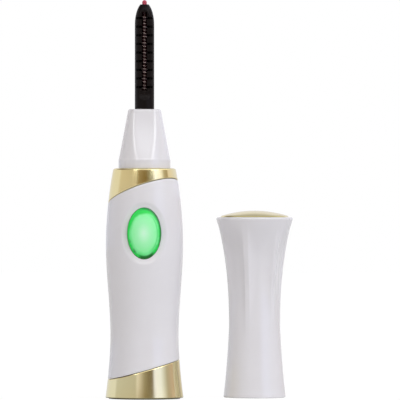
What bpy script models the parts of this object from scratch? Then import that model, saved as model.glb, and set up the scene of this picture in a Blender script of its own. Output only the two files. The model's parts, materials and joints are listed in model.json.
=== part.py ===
"""A battery-heated eyelash curler: a wand with a heated comb tip, and its cap standing beside it.

Metres, +Z up. The origin is the middle of the wand's foot, and the button faces -Y.
"""

import math

import bmesh
import bpy
from mathutils import Matrix, Vector

# Clearance between pieces that seat in or on each other
FIT = 0.0003

# Battery, one AAA cell, set back from the wand's axis to leave room for the board
CELL_RADIUS = 0.00525
CELL_LENGTH = 0.0445
CELL_NUB_RADIUS = 0.0019
CELL_NUB_HEIGHT = 0.0010
CELL_EDGE = 0.0004
CELL_PLAY = 0.0004
CELL_SETBACK = 0.0020

# Carrier for the battery and the board
BAY_BACK_WALL = 0.00105
BAY_FRONT_WALL = 0.00125
CARRIER_CROWN = 0.0060

# Casing: the waist is set by what it holds, and the foot and belly swell out from it
BARREL_WALL = 0.00183
FOOT_FLARE = 0.0016
FOOT_POWER = 1.7
FOOT_CHAMFER = 0.0006
BELLY_SWELL = 0.00144
WAIST_HEIGHT = 0.0200
BELLY_HEIGHT = 0.0485

# Neck of the barrel and the gold collar over it
NECK_LEDGE = 0.0014
NECK_WALL = 0.0016
NECK_STEP = 0.00093
COLLAR_EDGE = 0.0004
COLLAR_ROOF = 0.0010
COLLAR_DEPTH = 0.0069
COLLAR_ROUND = 0.0009
COLLAR_SEAM_TILT = math.radians(16.5)
COLLAR_SEAM_LEAN = math.radians(11.3)

# Gold base with its plug, contact plate and spring
BASE_FLOOR = 0.0015
BASE_SEAM_HEIGHT = 0.00933
BASE_SEAM_TILT = math.radians(15.4)
PLUG_FLOOR = 0.0020
PLUG_REACH = 0.0050
PLATE_THICKNESS = 0.0004
SPRING_HEIGHT = 0.0050
SPRING_WIRE = 0.0006
SPRING_FOOT_RADIUS = 0.0042
SPRING_HEAD_RADIUS = 0.0026
SPRING_TURNS = 4

# Contacts at the other end of the cell and up its side
CONTACT_THICKNESS = 0.0004
CONTACT_ARM_WIDTH = 0.0020
STRIP_THICKNESS = 0.0004
STRIP_WIDTH = 0.0020
STRIP_PROUD = 0.0007

# Circuit board and what is on it
BOARD_WIDTH = 0.0084
BOARD_LENGTH = 0.0280
BOARD_THICKNESS = 0.0010
BOARD_TOP_GAP = 0.0011
SWITCH_SIDE = 0.0045
SWITCH_HEIGHT = 0.0020
PLUNGER_RADIUS = 0.0012
PLUNGER_PROUD = 0.0006
LED_WIDTH = 0.0032
LED_LENGTH = 0.0024
LED_HEIGHT = 0.0016
CHIP_SIDE = 0.0040
CHIP_HEIGHT = 0.0010
SCREW_RADIUS = 0.0006
SCREW_HEAD_RADIUS = 0.0011
SCREW_HEAD_HEIGHT = 0.0007
SCREW_GRIP = 0.0014
SCREW_RISE = 0.0020
PART_SPACING = 0.0006
LEAD_SPREAD = 0.0016
LEAD_TAIL = 0.0014

# Button
BUTTON_HALF_WIDTH = 0.0053
BUTTON_HALF_HEIGHT = 0.00807
BUTTON_DOME = 0.0016
BUTTON_DOME_POWER = 2.6
BUTTON_SINK = 0.0008
BUTTON_LENS = 0.0012
BUTTON_WALL = 0.0009
BUTTON_TRAVEL = 0.0006
BUTTON_EAR_LENGTH = 0.0009
BUTTON_EAR_WIDTH = 0.0030
BUTTON_EAR_THICKNESS = 0.0006
BUTTON_EAR_GAP = 0.0004
DISH_MARGIN = 0.0018
DISH_DEPTH = 0.00035

# Nose cone
CONE_LIP = 0.00095
CONE_FLANGE = 0.0008
CONE_BAND = 0.0025
CONE_STEP = 0.00014
CONE_HEIGHT = 0.0187
CONE_WALL = 0.00135
CONE_TIP_WALL = 0.00185
CONE_TIP_ROUND = 0.0005
CONE_NOSE = 0.0062
CONE_FLAT_WALL = 0.0005
CONE_FLAT_TILT = math.radians(15.0)
CONE_FLAT_END = 0.0021
CONE_FLAT_RUNOUT = 0.0016

# Heated comb with its coil on a core
CORE_RADIUS = 0.00074
CORE_TIP = 0.0014
COIL_WIRE = 0.0004
COIL_TURNS = 23
COIL_TO_TIP = 0.0033
STEM_WALL = 0.00134
COMB_FLANGE = 0.0022
COMB_FLANGE_LIP = 0.00092
COMB_NOSE = 0.0065
COMB_TIP_WALL = 0.00031
COMB_COVER = 0.00056
COMB_RAIL = 0.00048
COMB_FLAT_START = 0.0014
COMB_FLAT_RUNOUT = 0.0040
CHANNEL_HALF_WIDTH = 0.00085
CHANNEL_START = 0.0059
SLOT_COUNT = 9
SLOT_PITCH = 0.00274
SLOT_HEIGHT = 0.00075
SLOT_WEB = 0.0005
SLOT_FIRST = 0.0070
SLOT_TO_TIP = 0.00438
RETAINER_LENGTH = 0.0035
LEAD_WIRE_RADIUS = 0.00035

# Cap, standing to the right of the wand and a little behind it
CAP_ASIDE = 0.0351
CAP_BEHIND = 0.0100
CAP_MOUTH_WALL = 0.00140
CAP_MOUTH_DEPTH = 0.0035
CAP_FOOT_POWER = 1.5
CAP_WALL = 0.00124
CAP_WAIST_ROOM = 0.0018
CAP_WAIST_HEIGHT = 0.0220
CAP_RIM_SWELL = 0.00395
CAP_RIM_POWER = 2.4
CAP_HEADROOM = 0.0021
CAP_COVE = 0.0118
CAP_COVE_RINGS = 5
CAP_LIP_RISE = 0.0006
CAP_FLUTES = 6
CAP_FLUTE_DEPTH = 0.0012
CAP_FLUTE_START = 0.0170
CAP_FLUTE_TURN = math.radians(13.0)
CROWN_INSET = 0.0012
CROWN_EDGE = 0.0011
CROWN_PROUD = 0.0005
CROWN_DOME = 0.0016
CROWN_SKIRT_STEP = 0.0021
CROWN_SKIRT_WALL = 0.0010
CROWN_SKIRT_DEPTH = 0.0015

# How finely round pieces are divided
WIDE_STEPS = 40
ROUND_STEPS = 24
SMALL_STEPS = 16
OVAL_STEPS = 32
CAP_STEPS = 48
CASING_RINGS = 14
CAP_RINGS = 15
CAP_INSIDE_RINGS = 6
DOME_RINGS = 6
PER_CURL = 9
MERGE = 0.00001

# Radii of the casing, from the cell outwards
bay_radius = CELL_RADIUS + CELL_PLAY
carrier_radius = CELL_SETBACK + bay_radius + BAY_BACK_WALL
bore_radius = carrier_radius + FIT
waist_radius = bore_radius + BARREL_WALL
foot_radius = waist_radius + FOOT_FLARE
belly_radius = waist_radius + BELLY_SWELL
neck_bore_radius = bore_radius - NECK_LEDGE
neck_radius = neck_bore_radius + NECK_WALL
collar_bore_radius = neck_radius + FIT
shoulder_radius = collar_bore_radius + COLLAR_EDGE
cone_seat_radius = neck_radius - CONE_LIP

# Heights up the battery stack
plug_foot = BASE_FLOOR + FIT
well_floor = plug_foot + PLUG_FLOOR
plate_foot = well_floor + FIT
plate_top = plate_foot + PLATE_THICKNESS
spring_foot = plate_top + FIT
cell_foot = spring_foot + SPRING_HEIGHT + FIT
cell_top = cell_foot + CELL_LENGTH
contact_foot = cell_top + FIT
bay_top = contact_foot + CONTACT_THICKNESS + FIT
carrier_top = bay_top + CARRIER_CROWN
bore_top = carrier_top + FIT

# Heights of the seams, the shoulder and the nose
collar_slope = math.hypot(math.tan(COLLAR_SEAM_TILT), math.tan(COLLAR_SEAM_LEAN))
collar_seam_height = bore_top + NECK_STEP + collar_slope * shoulder_radius
shoulder_height = collar_seam_height + COLLAR_DEPTH
flange_top = shoulder_height - COLLAR_ROOF - FIT
flange_foot = flange_top - CONE_FLANGE
neck_top = flange_foot - FIT
base_seam_top = BASE_SEAM_HEIGHT + math.tan(BASE_SEAM_TILT) * foot_radius
plug_top = base_seam_top + PLUG_REACH
carrier_foot = plug_top + FIT
cone_top = shoulder_height + CONE_HEIGHT
socket_top = cone_top - CONE_NOSE
comb_foot = socket_top - FIT - COMB_FLANGE
retainer_top = comb_foot - FIT
retainer_foot = retainer_top - RETAINER_LENGTH
socket_foot = retainer_foot - FIT
comb_top = cone_top + SLOT_FIRST + (SLOT_COUNT - 1) * SLOT_PITCH + SLOT_TO_TIP
core_top = comb_top + CORE_TIP

# Depths from the wand's axis towards the front, along the board
carrier_front = bay_radius + BAY_FRONT_WALL - CELL_SETBACK
board_back = carrier_front + FIT
board_front = board_back + BOARD_THICKNESS
parts_back = board_front + FIT
board_top = carrier_top - BOARD_TOP_GAP
board_foot = board_top - BOARD_LENGTH
button_height = bore_top - BUTTON_EAR_GAP - BUTTON_EAR_LENGTH - BUTTON_HALF_HEIGHT
switch_front = parts_back + SWITCH_HEIGHT
plunger_tip = switch_front + PLUNGER_PROUD
strip_inner = BOARD_WIDTH / 2 + FIT
strip_front = carrier_front + STRIP_PROUD
chip_height = board_foot + SCREW_RISE + SCREW_HEAD_RADIUS + PART_SPACING + CHIP_SIDE / 2
led_height = button_height + SWITCH_SIDE / 2 + PART_SPACING + LED_LENGTH / 2

# Heater
core_bore_radius = CORE_RADIUS + FIT
coil_radius = core_bore_radius + COIL_WIRE / 2
heater_bore_radius = coil_radius + COIL_WIRE / 2 + FIT
coil_foot = cone_top + CHANNEL_START + COIL_WIRE
coil_top = comb_top - COIL_TO_TIP
heater_bore_top = coil_top + 2 * COIL_WIRE + FIT
stem_radius = heater_bore_radius + STEM_WALL
stem_hole_radius = stem_radius + FIT
comb_flange_radius = stem_radius + COMB_FLANGE_LIP
comb_tip_radius = core_bore_radius + COMB_TIP_WALL
comb_flat_depth = heater_bore_radius + COMB_COVER
slot_half_width = stem_radius - COMB_RAIL
cone_tip_radius = stem_hole_radius + CONE_TIP_WALL
lead_radius = CORE_RADIUS + FIT + LEAD_WIRE_RADIUS
lead_top = retainer_top - FIT

# Cap
cap_mouth_radius = cone_seat_radius + FIT
cap_base_radius = cap_mouth_radius + CAP_MOUTH_WALL
cap_bore_radius = cone_tip_radius + CAP_WAIST_ROOM
cap_waist_radius = cap_bore_radius + CAP_WALL
cap_rim_radius = cap_waist_radius + CAP_RIM_SWELL
crown_radius = cap_rim_radius - CROWN_INSET
crown_skirt_radius = crown_radius - CROWN_SKIRT_STEP
crown_skirt_foot = core_top - shoulder_height + CAP_HEADROOM
crown_edge_foot = crown_skirt_foot + CROWN_SKIRT_DEPTH
crown_edge_top = crown_edge_foot + CROWN_EDGE
cap_rim_height = crown_edge_top - CROWN_PROUD
cap_lip_height = cap_rim_height - CAP_LIP_RISE


# Collections, materials and modelling helpers


def clear_scene():
    for obj in list(bpy.data.objects):
        bpy.data.objects.remove(obj, do_unlink=True)


def new_collection(name):
    collection = bpy.data.collections.new(name)
    bpy.context.scene.collection.children.link(collection)
    return collection


def finish_material(name, colour, roughness, metallic=0.0):
    material = bpy.data.materials.new(name)
    material.use_nodes = True
    shader = material.node_tree.nodes["Principled BSDF"]
    shader.inputs["Base Color"].default_value = (*colour, 1.0)
    shader.inputs["Roughness"].default_value = roughness
    shader.inputs["Metallic"].default_value = metallic
    return material


def add_object(name, data, parent=None):
    """Every object starts as a part. A cutter is moved to the cutters by as_cutter."""
    obj = bpy.data.objects.new(name, data)
    PARTS.objects.link(obj)
    obj.parent = parent
    return obj


def as_cutter(obj):
    PARTS.objects.unlink(obj)
    CUTTERS.objects.link(obj)
    obj.hide_render = True
    obj.display_type = "WIRE"
    return obj


def paint(obj, material):
    obj.data.materials.append(material)
    return obj


def combine(obj, other, operation="DIFFERENCE"):
    """Cut, join or keep the common part of two solids. The other one is left as a wire guide."""
    modifier = obj.modifiers.new(other.name, "BOOLEAN")
    modifier.object = other
    modifier.operation = operation
    modifier.solver = "EXACT"
    return obj


def turned(name, profile, steps, parent=None):
    """Turn (radius, height) points about Z. The profile runs up any inside and down the outside."""
    mesh = bpy.data.meshes.new(name)
    points = [(radius, 0.0, height) for radius, height in profile]
    edges = [(i, i + 1) for i in range(len(points) - 1)]
    if profile[0][0] > 0:
        edges.append((len(points) - 1, 0))
    mesh.from_pydata(points, edges, [])
    obj = add_object(name, mesh, parent)
    screw = obj.modifiers.new("turn", "SCREW")
    screw.steps = steps
    screw.render_steps = steps
    screw.use_merge_vertices = True
    screw.merge_threshold = MERGE
    screw.use_smooth_shade = True
    return obj


def rounded(radius, height, size, rings=3):
    """Profile points round an outer top edge, from the top down to the side."""
    angles = [math.pi / 2 * i / rings for i in range(rings + 1)]
    return [(radius - size + size * math.sin(a), height - size + size * math.cos(a)) for a in angles]


def dome(radius, edge_height, rise, power):
    """Profile points from the middle of a domed top out to its edge."""
    shares = [i / DOME_RINGS for i in range(DOME_RINGS + 1)]
    return [(radius * s, edge_height + rise * (1 - s**power)) for s in shares]


def rod(name, radius, foot, top, steps, parent=None):
    """An upright cylinder on its own Z axis."""
    mesh = bpy.data.meshes.new(name)
    bm = bmesh.new()
    place = Matrix.Translation((0.0, 0.0, (foot + top) / 2))
    bmesh.ops.create_cone(
        bm, cap_ends=True, segments=steps, radius1=radius, radius2=radius, depth=top - foot, matrix=place
    )
    bm.to_mesh(mesh)
    bm.free()
    mesh.shade_smooth()
    mesh.set_sharp_from_angle(angle=math.radians(40))
    return add_object(name, mesh, parent)


def add_box(bm, low, high):
    low, high = Vector(low), Vector(high)
    place = Matrix.Translation((low + high) / 2) @ Matrix.Diagonal((*(high - low), 1.0))
    return bmesh.ops.create_cube(bm, size=1.0, matrix=place)["verts"]


def block(name, low, high, parent=None):
    """A box between two corners."""
    return blocks(name, [(low, high)], parent)


def blocks(name, corners, parent=None):
    mesh = bpy.data.meshes.new(name)
    bm = bmesh.new()
    for low, high in corners:
        add_box(bm, low, high)
    bm.to_mesh(mesh)
    bm.free()
    return add_object(name, mesh, parent)


def scoop(name, half_width, depth, length, runout):
    """A block in front of its own XZ plane, with a rounded lower back edge for a soft end to the flat."""
    mesh = bpy.data.meshes.new(name)
    bm = bmesh.new()
    add_box(bm, (-half_width, -depth, 0.0), (half_width, 0.0, length))
    edge = [e for e in bm.edges if all(v.co.y > -depth / 2 and v.co.z < length / 2 for v in e.verts)]
    bmesh.ops.bevel(bm, geom=edge, offset=runout, segments=8, profile=0.5, affect="EDGES")
    bm.to_mesh(mesh)
    bm.free()
    return add_object(name, mesh)


def button_outline(name, margin):
    """An oval prism out of the wand's front, wider than the button by a margin all round."""
    mesh = bpy.data.meshes.new(name)
    bm = bmesh.new()
    size = Matrix.Diagonal((BUTTON_HALF_WIDTH + margin, BUTTON_HALF_HEIGHT + margin, 2 * belly_radius, 1.0))
    place = Matrix.Translation((0.0, 0.0, belly_radius)) @ size
    bmesh.ops.create_cone(
        bm, cap_ends=True, segments=OVAL_STEPS, radius1=1.0, radius2=1.0, depth=1.0, matrix=place
    )
    bm.to_mesh(mesh)
    bm.free()
    return as_cutter(add_object(name, mesh, BUTTON_AXIS))


def seam_side(name, height, tilt, lean, above):
    """A large block on one side of a slanted seam, which crosses the wand's axis at the given height."""
    reach = 2 * belly_radius
    low, high = (0.0, 2 * reach) if above else (-2 * reach, 0.0)
    obj = block(name, (-reach, -reach, low), (reach, reach, high))
    normal = Vector((-math.tan(tilt), math.tan(lean), 1.0))
    obj.rotation_euler = Vector((0.0, 0.0, 1.0)).rotation_difference(normal).to_euler()
    obj.location.z = height
    return as_cutter(obj)


def wire(name, points, diameter):
    """A round wire along a run of points, with closed ends."""
    curve = bpy.data.curves.new(name, "CURVE")
    curve.dimensions = "3D"
    curve.bevel_depth = diameter / 2
    curve.bevel_resolution = 1
    curve.use_fill_caps = True
    spline = curve.splines.new("POLY")
    spline.points.add(len(points) - 1)
    for point, place in zip(spline.points, points):
        point.co = (*place, 1.0)
    spline.use_smooth = True
    return add_object(name, curve)


def smooth_route(points, per_span=4):
    """Points along a smooth curve through a few chosen ones."""
    ends = [points[0]] + list(points) + [points[-1]]
    route = []
    for a, b, c, d in zip(ends, ends[1:], ends[2:], ends[3:]):
        a, b, c, d = Vector(a), Vector(b), Vector(c), Vector(d)
        for i in range(per_span):
            t = i / per_span
            bend = (2 * a - 5 * b + 4 * c - d) * t * t + (3 * b - a - 3 * c + d) * t**3
            route.append(b + ((c - a) * t + bend) / 2)
    return route + [Vector(points[-1])]


def least_gap(points, diameter):
    """The smallest clear space between one turn of a wound wire and another, measured on its points."""
    gap = math.inf
    for i, a in enumerate(points):
        for b in points[i + PER_CURL // 2 + 1 :]:
            gap = min(gap, (a - b).length - diameter)
    return gap


# Casing: barrel, collar and base share one outer form


def casing_radius(height):
    """Outer radius of the casing: a flared foot, a waist, a belly and a drawn-in shoulder."""
    if height < WAIST_HEIGHT:
        return waist_radius + FOOT_FLARE * (1 - height / WAIST_HEIGHT) ** FOOT_POWER
    if height < BELLY_HEIGHT:
        t = (height - WAIST_HEIGHT) / (BELLY_HEIGHT - WAIST_HEIGHT)
        return waist_radius + BELLY_SWELL * t * t * (3 - 2 * t)
    t = (height - BELLY_HEIGHT) / (shoulder_height - BELLY_HEIGHT)
    return belly_radius + (shoulder_radius - belly_radius) * t * t


def casing_side(top, foot, rings, inset=0.0):
    """Points down the outside of the casing, from one height to another."""
    heights = [top + (foot - top) * i / (rings - 1) for i in range(rings)]
    return [(casing_radius(height) - inset, height) for height in heights]


def make_barrel(material):
    inside = [(bore_radius, 0.0), (bore_radius, bore_top)]
    inside += [(neck_bore_radius, bore_top), (neck_bore_radius, neck_top)]
    barrel = turned("barrel_shell", casing_side(neck_top, 0.0, CASING_RINGS) + inside, WIDE_STEPS)
    combine(barrel, seam_side("barrel_foot_cut", BASE_SEAM_HEIGHT + FIT, BASE_SEAM_TILT, 0.0, above=False))
    seat_height = collar_seam_height - FIT
    sleeve = seam_side("collar_seat_cut", seat_height, COLLAR_SEAM_TILT, COLLAR_SEAM_LEAN, above=True)
    combine(sleeve, as_cutter(rod("neck_core", neck_radius, 0.0, 2 * shoulder_height, WIDE_STEPS)))
    combine(barrel, sleeve)
    dish_top = button_height + BUTTON_HALF_HEIGHT + 2 * DISH_MARGIN
    dish_foot = button_height - BUTTON_HALF_HEIGHT - 2 * DISH_MARGIN
    skin_outside = casing_side(dish_top, dish_foot, CASING_RINGS, -DISH_MARGIN)
    skin_inside = casing_side(dish_foot, dish_top, CASING_RINGS, DISH_DEPTH)
    dish = as_cutter(turned("dish_skin", skin_outside + skin_inside, WIDE_STEPS))
    combine(dish, button_outline("dish_oval", DISH_MARGIN), "INTERSECT")
    combine(barrel, dish)
    combine(barrel, button_outline("button_hole", FIT))
    return paint(barrel, material)


def make_collar(material):
    roof_foot = shoulder_height - COLLAR_ROOF
    hole = cone_seat_radius + FIT
    foot = bore_top
    side = casing_side(shoulder_height - COLLAR_ROUND, foot, 6)
    corner = [(hole, shoulder_height)] + rounded(side[0][0], shoulder_height, COLLAR_ROUND)
    inside = [(collar_bore_radius, foot), (collar_bore_radius, roof_foot), (hole, roof_foot)]
    collar = turned("shoulder_collar", corner + side[1:] + inside, WIDE_STEPS)
    below = seam_side("collar_foot_cut", collar_seam_height, COLLAR_SEAM_TILT, COLLAR_SEAM_LEAN, above=False)
    combine(collar, below)
    return paint(collar, material)


def make_base_cup(material):
    top = base_seam_top + FIT
    inside = [(0.0, BASE_FLOOR), (bore_radius, BASE_FLOOR), (bore_radius, top)]
    side = casing_side(top, FOOT_CHAMFER, 7)
    foot = [(foot_radius - FOOT_CHAMFER, 0.0), (0.0, 0.0)]
    cup = turned("base_cup", inside + side + foot, WIDE_STEPS, BASE_AXIS)
    combine(cup, seam_side("base_top_cut", BASE_SEAM_HEIGHT, BASE_SEAM_TILT, 0.0, above=True))
    return paint(cup, material)


# Base: plug, contact plate, spring and cell


def strip_room(name, foot, top):
    """The slot in which the negative strip stands."""
    low = (strip_inner - FIT, -strip_front - FIT, foot)
    high = (strip_inner + STRIP_THICKNESS + FIT, -strip_front + STRIP_WIDTH + FIT, top)
    return as_cutter(block(name, low, high))


def cell_room(name, foot, top):
    room = rod(name, bay_radius, foot, top, ROUND_STEPS)
    room.location.y = CELL_SETBACK
    return as_cutter(room)


def make_plug(material):
    plug = rod("battery_plug", carrier_radius, plug_foot, plug_top, WIDE_STEPS, BASE_AXIS)
    combine(plug, cell_room("plug_well", well_floor, plug_top + PLUG_REACH))
    combine(plug, strip_room("plug_strip_slot", well_floor, plug_top + PLUG_REACH))
    passage_low = (0.0, -strip_front - FIT, well_floor)
    passage_high = (strip_inner + STRIP_THICKNESS + FIT, CELL_SETBACK, plate_top + FIT)
    combine(plug, as_cutter(block("plate_tab_room", passage_low, passage_high)))
    return paint(plug, material)


def make_plate(material):
    plate = rod("spring_plate", CELL_RADIUS, plate_foot, plate_top, ROUND_STEPS, BASE_AXIS)
    plate.location.y = CELL_SETBACK
    tab_foot = plate_foot + PLATE_THICKNESS / 4
    tab_low = (FIT, -strip_front, tab_foot)
    tab_high = (strip_inner + STRIP_THICKNESS, CELL_SETBACK, plate_top)
    tab = as_cutter(block("plate_tab", tab_low, tab_high))
    combine(plate, tab, "UNION")
    return paint(plate, material)


def make_spring(material):
    rise = SPRING_HEIGHT - SPRING_WIRE
    points = []
    for i in range(SPRING_TURNS * PER_CURL + 1):
        share = i / (SPRING_TURNS * PER_CURL)
        angle = share * SPRING_TURNS * math.tau
        radius = SPRING_FOOT_RADIUS + (SPRING_HEAD_RADIUS - SPRING_FOOT_RADIUS) * share
        height = spring_foot + SPRING_WIRE / 2 + rise * share
        points.append(Vector((radius * math.cos(angle), radius * math.sin(angle) + CELL_SETBACK, height)))
    print(f"negative_spring: least gap to itself {least_gap(points, SPRING_WIRE) * 1000:.2f} mm")
    spring = wire("negative_spring", points, SPRING_WIRE)
    spring.parent = BASE_AXIS
    return paint(spring, material)


def make_cell(material):
    shoulder = cell_top - CELL_NUB_HEIGHT
    nub = [(0.0, cell_top), (CELL_NUB_RADIUS, cell_top), (CELL_NUB_RADIUS, shoulder)]
    side = rounded(CELL_RADIUS, shoulder, CELL_EDGE) + [(CELL_RADIUS, cell_foot + CELL_EDGE)]
    foot = [(CELL_RADIUS - CELL_EDGE, cell_foot), (0.0, cell_foot)]
    cell = turned("battery_cell", nub + side + foot, ROUND_STEPS, BASE_AXIS)
    cell.location.y = CELL_SETBACK
    return paint(cell, material)


# Carrier, board and contacts


def screw_places():
    """Each board screw's name, side and height."""
    side = BOARD_WIDTH / 2 - SCREW_HEAD_RADIUS - FIT
    upper = chip_height + CHIP_SIDE / 2 + PART_SPACING + SCREW_HEAD_RADIUS
    return [("board_screw_lower", side, board_foot + SCREW_RISE), ("board_screw_upper", -side, upper)]


def screw_room(name, side, height):
    room = rod(name, SCREW_RADIUS + FIT, -carrier_radius, -carrier_front + SCREW_GRIP + FIT, SMALL_STEPS)
    room.data.transform(Matrix.Rotation(math.radians(-90), 4, "X"))
    room.location = (side, 0.0, height)
    return as_cutter(room)


def make_carrier(material):
    carrier = rod("inner_chassis", carrier_radius, carrier_foot, carrier_top, WIDE_STEPS)
    combine(carrier, cell_room("cell_bay", 0.0, bay_top))
    front_low = (-bore_radius, -bore_radius, board_foot - FIT)
    front_high = (bore_radius, -carrier_front, shoulder_height)
    combine(carrier, as_cutter(block("board_shelf_cut", front_low, front_high)))
    combine(carrier, strip_room("carrier_strip_slot", 0.0, board_top + FIT))
    arm_half = CONTACT_ARM_WIDTH / 2 + FIT
    arm_low = (-arm_half, -bore_radius, contact_foot - FIT)
    arm_high = (arm_half, 0.0, bay_top)
    combine(carrier, as_cutter(block("contact_arm_slot", arm_low, arm_high)))
    for name, side, height in screw_places():
        combine(carrier, screw_room(name + "_pilot", side, height))
    return paint(carrier, material)


def make_board(material):
    half = BOARD_WIDTH / 2
    board = block("circuit_board", (-half, -board_front, board_foot), (half, -board_back, board_top))
    for name, side, height in screw_places():
        combine(board, screw_room(name + "_hole", side, height))
    return paint(board, material)


def make_screw(name, side, height, material):
    tip = carrier_front - SCREW_GRIP - parts_back
    head = [(0.0, SCREW_HEAD_HEIGHT)] + rounded(SCREW_HEAD_RADIUS, SCREW_HEAD_HEIGHT, SCREW_HEAD_HEIGHT / 2)
    shank = [(SCREW_HEAD_RADIUS, 0.0), (SCREW_RADIUS, 0.0), (SCREW_RADIUS, tip), (0.0, tip)]
    screw = turned(name, head + shank, SMALL_STEPS)
    screw.rotation_euler.x = math.radians(90)
    screw.location = (side, -parts_back, height)
    return paint(screw, material)


def make_switch(material):
    half = SWITCH_SIDE / 2
    low = (-half, -switch_front, button_height - half)
    high = (half, -parts_back, button_height + half)
    switch = block("tact_switch", low, high)
    radius = PLUNGER_RADIUS + FIT
    well = rod("plunger_well", radius, parts_back + FIT, 2 * switch_front, SMALL_STEPS, BUTTON_AXIS)
    combine(switch, as_cutter(well))
    return paint(switch, material)


def make_plunger(material):
    foot = parts_back + 2 * FIT + BUTTON_TRAVEL
    plunger = rod("switch_plunger", PLUNGER_RADIUS, foot, plunger_tip, SMALL_STEPS, BUTTON_AXIS)
    return paint(plunger, material)


def make_led(material):
    low = (-LED_WIDTH / 2, -parts_back - LED_HEIGHT, led_height - LED_LENGTH / 2)
    high = (LED_WIDTH / 2, -parts_back, led_height + LED_LENGTH / 2)
    return paint(block("indicator_led", low, high), material)


def make_chip(material):
    half = CHIP_SIDE / 2
    low = (-half, -parts_back - CHIP_HEIGHT, chip_height - half)
    high = (half, -parts_back, chip_height + half)
    return paint(block("control_chip", low, high), material)


def make_positive_contact(material):
    contact_top = contact_foot + CONTACT_THICKNESS
    contact = rod("positive_contact", CELL_RADIUS, contact_foot, contact_top, ROUND_STEPS)
    contact.location.y = CELL_SETBACK
    arm_low = (-CONTACT_ARM_WIDTH / 2, -carrier_front, contact_foot + CONTACT_THICKNESS / 4)
    arm_high = (CONTACT_ARM_WIDTH / 2, CELL_SETBACK, contact_foot + CONTACT_THICKNESS * 3 / 4)
    combine(contact, as_cutter(block("contact_arm", arm_low, arm_high)), "UNION")
    return paint(contact, material)


def make_strip(material):
    low = (strip_inner, -strip_front, plate_top + FIT)
    high = (strip_inner + STRIP_THICKNESS, -strip_front + STRIP_WIDTH, board_top)
    return paint(block("negative_strip", low, high), material)


# Button


def make_button(material):
    rim = casing_radius(button_height) - BUTTON_SINK
    bore_flat = bore_radius * math.cos(math.pi / WIDE_STEPS)
    ear_front = math.sqrt(bore_flat**2 - (BUTTON_EAR_WIDTH / 2) ** 2) - FIT
    ear_back = ear_front - BUTTON_EAR_THICKNESS
    skirt_back = ear_back + FIT
    inner = BUTTON_HALF_WIDTH - BUTTON_WALL
    ceiling = rim + BUTTON_DOME - BUTTON_LENS
    post_tip = plunger_tip + FIT
    top = dome(BUTTON_HALF_WIDTH, rim, BUTTON_DOME, BUTTON_DOME_POWER)
    skirt = [(BUTTON_HALF_WIDTH, skirt_back), (inner, skirt_back), (inner, rim - BUTTON_LENS / 2)]
    post = [(PLUNGER_RADIUS, ceiling), (PLUNGER_RADIUS, post_tip), (0.0, post_tip)]
    profile = top + skirt + [(inner - BUTTON_LENS, ceiling)] + post
    button = turned("power_button", profile, OVAL_STEPS, BUTTON_AXIS)
    button.scale.y = BUTTON_HALF_HEIGHT / BUTTON_HALF_WIDTH
    for end, name in ((-1, "lower"), (1, "upper")):
        tip = end * (BUTTON_HALF_HEIGHT + BUTTON_EAR_LENGTH)
        root = end * (BUTTON_HALF_HEIGHT - BUTTON_WALL)
        low = (-BUTTON_EAR_WIDTH / 2, min(tip, root), ear_back)
        high = (BUTTON_EAR_WIDTH / 2, max(tip, root), ear_front)
        ear = as_cutter(block(f"button_ear_{name}", low, high, BUTTON_AXIS))
        combine(button, ear, "UNION")
    return paint(button, material)


# Nose cone and heater


def make_cone(material):
    socket = comb_flange_radius + FIT
    skirt = cone_seat_radius - CONE_WALL
    band_top = shoulder_height + CONE_BAND
    side = rounded(cone_tip_radius, cone_top, CONE_TIP_ROUND) + [
        (cone_seat_radius - CONE_STEP, band_top + CONE_STEP),
        (cone_seat_radius, band_top),
        (cone_seat_radius, flange_top),
    ]
    inside = [
        (neck_radius, flange_top),
        (neck_radius, flange_foot),
        (skirt, flange_foot),
        (skirt, shoulder_height),
        (socket, socket_foot),
        (socket, socket_top),
        (stem_hole_radius, socket_top),
        (stem_hole_radius, cone_top),
    ]
    cone = turned("nose_cone", side + inside, WIDE_STEPS)
    flat_length = (cone_top - shoulder_height) / math.cos(CONE_FLAT_TILT)
    for turn, name in ((0.0, "front"), (math.pi, "back")):
        flat = scoop(f"cone_flat_{name}", neck_radius, neck_radius, 2 * flat_length, CONE_FLAT_RUNOUT)
        drop = cone_top - shoulder_height - CONE_FLAT_END
        depth = stem_hole_radius + CONE_FLAT_WALL + drop * math.tan(CONE_FLAT_TILT)
        place = Matrix.Translation((0.0, -depth, shoulder_height + CONE_FLAT_END))
        flat.matrix_world = Matrix.Rotation(turn, 4, "Z") @ place @ Matrix.Rotation(-CONE_FLAT_TILT, 4, "X")
        combine(cone, as_cutter(flat))
    return paint(cone, material)


def comb_nose(height):
    """Radius of the comb's bullet nose, an ellipse cut off square at the tip."""
    share = 1 - (comb_tip_radius / stem_radius) ** 2
    rise = (height - comb_top + COMB_NOSE) / COMB_NOSE
    return stem_radius * math.sqrt(1 - share * rise * rise)


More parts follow.
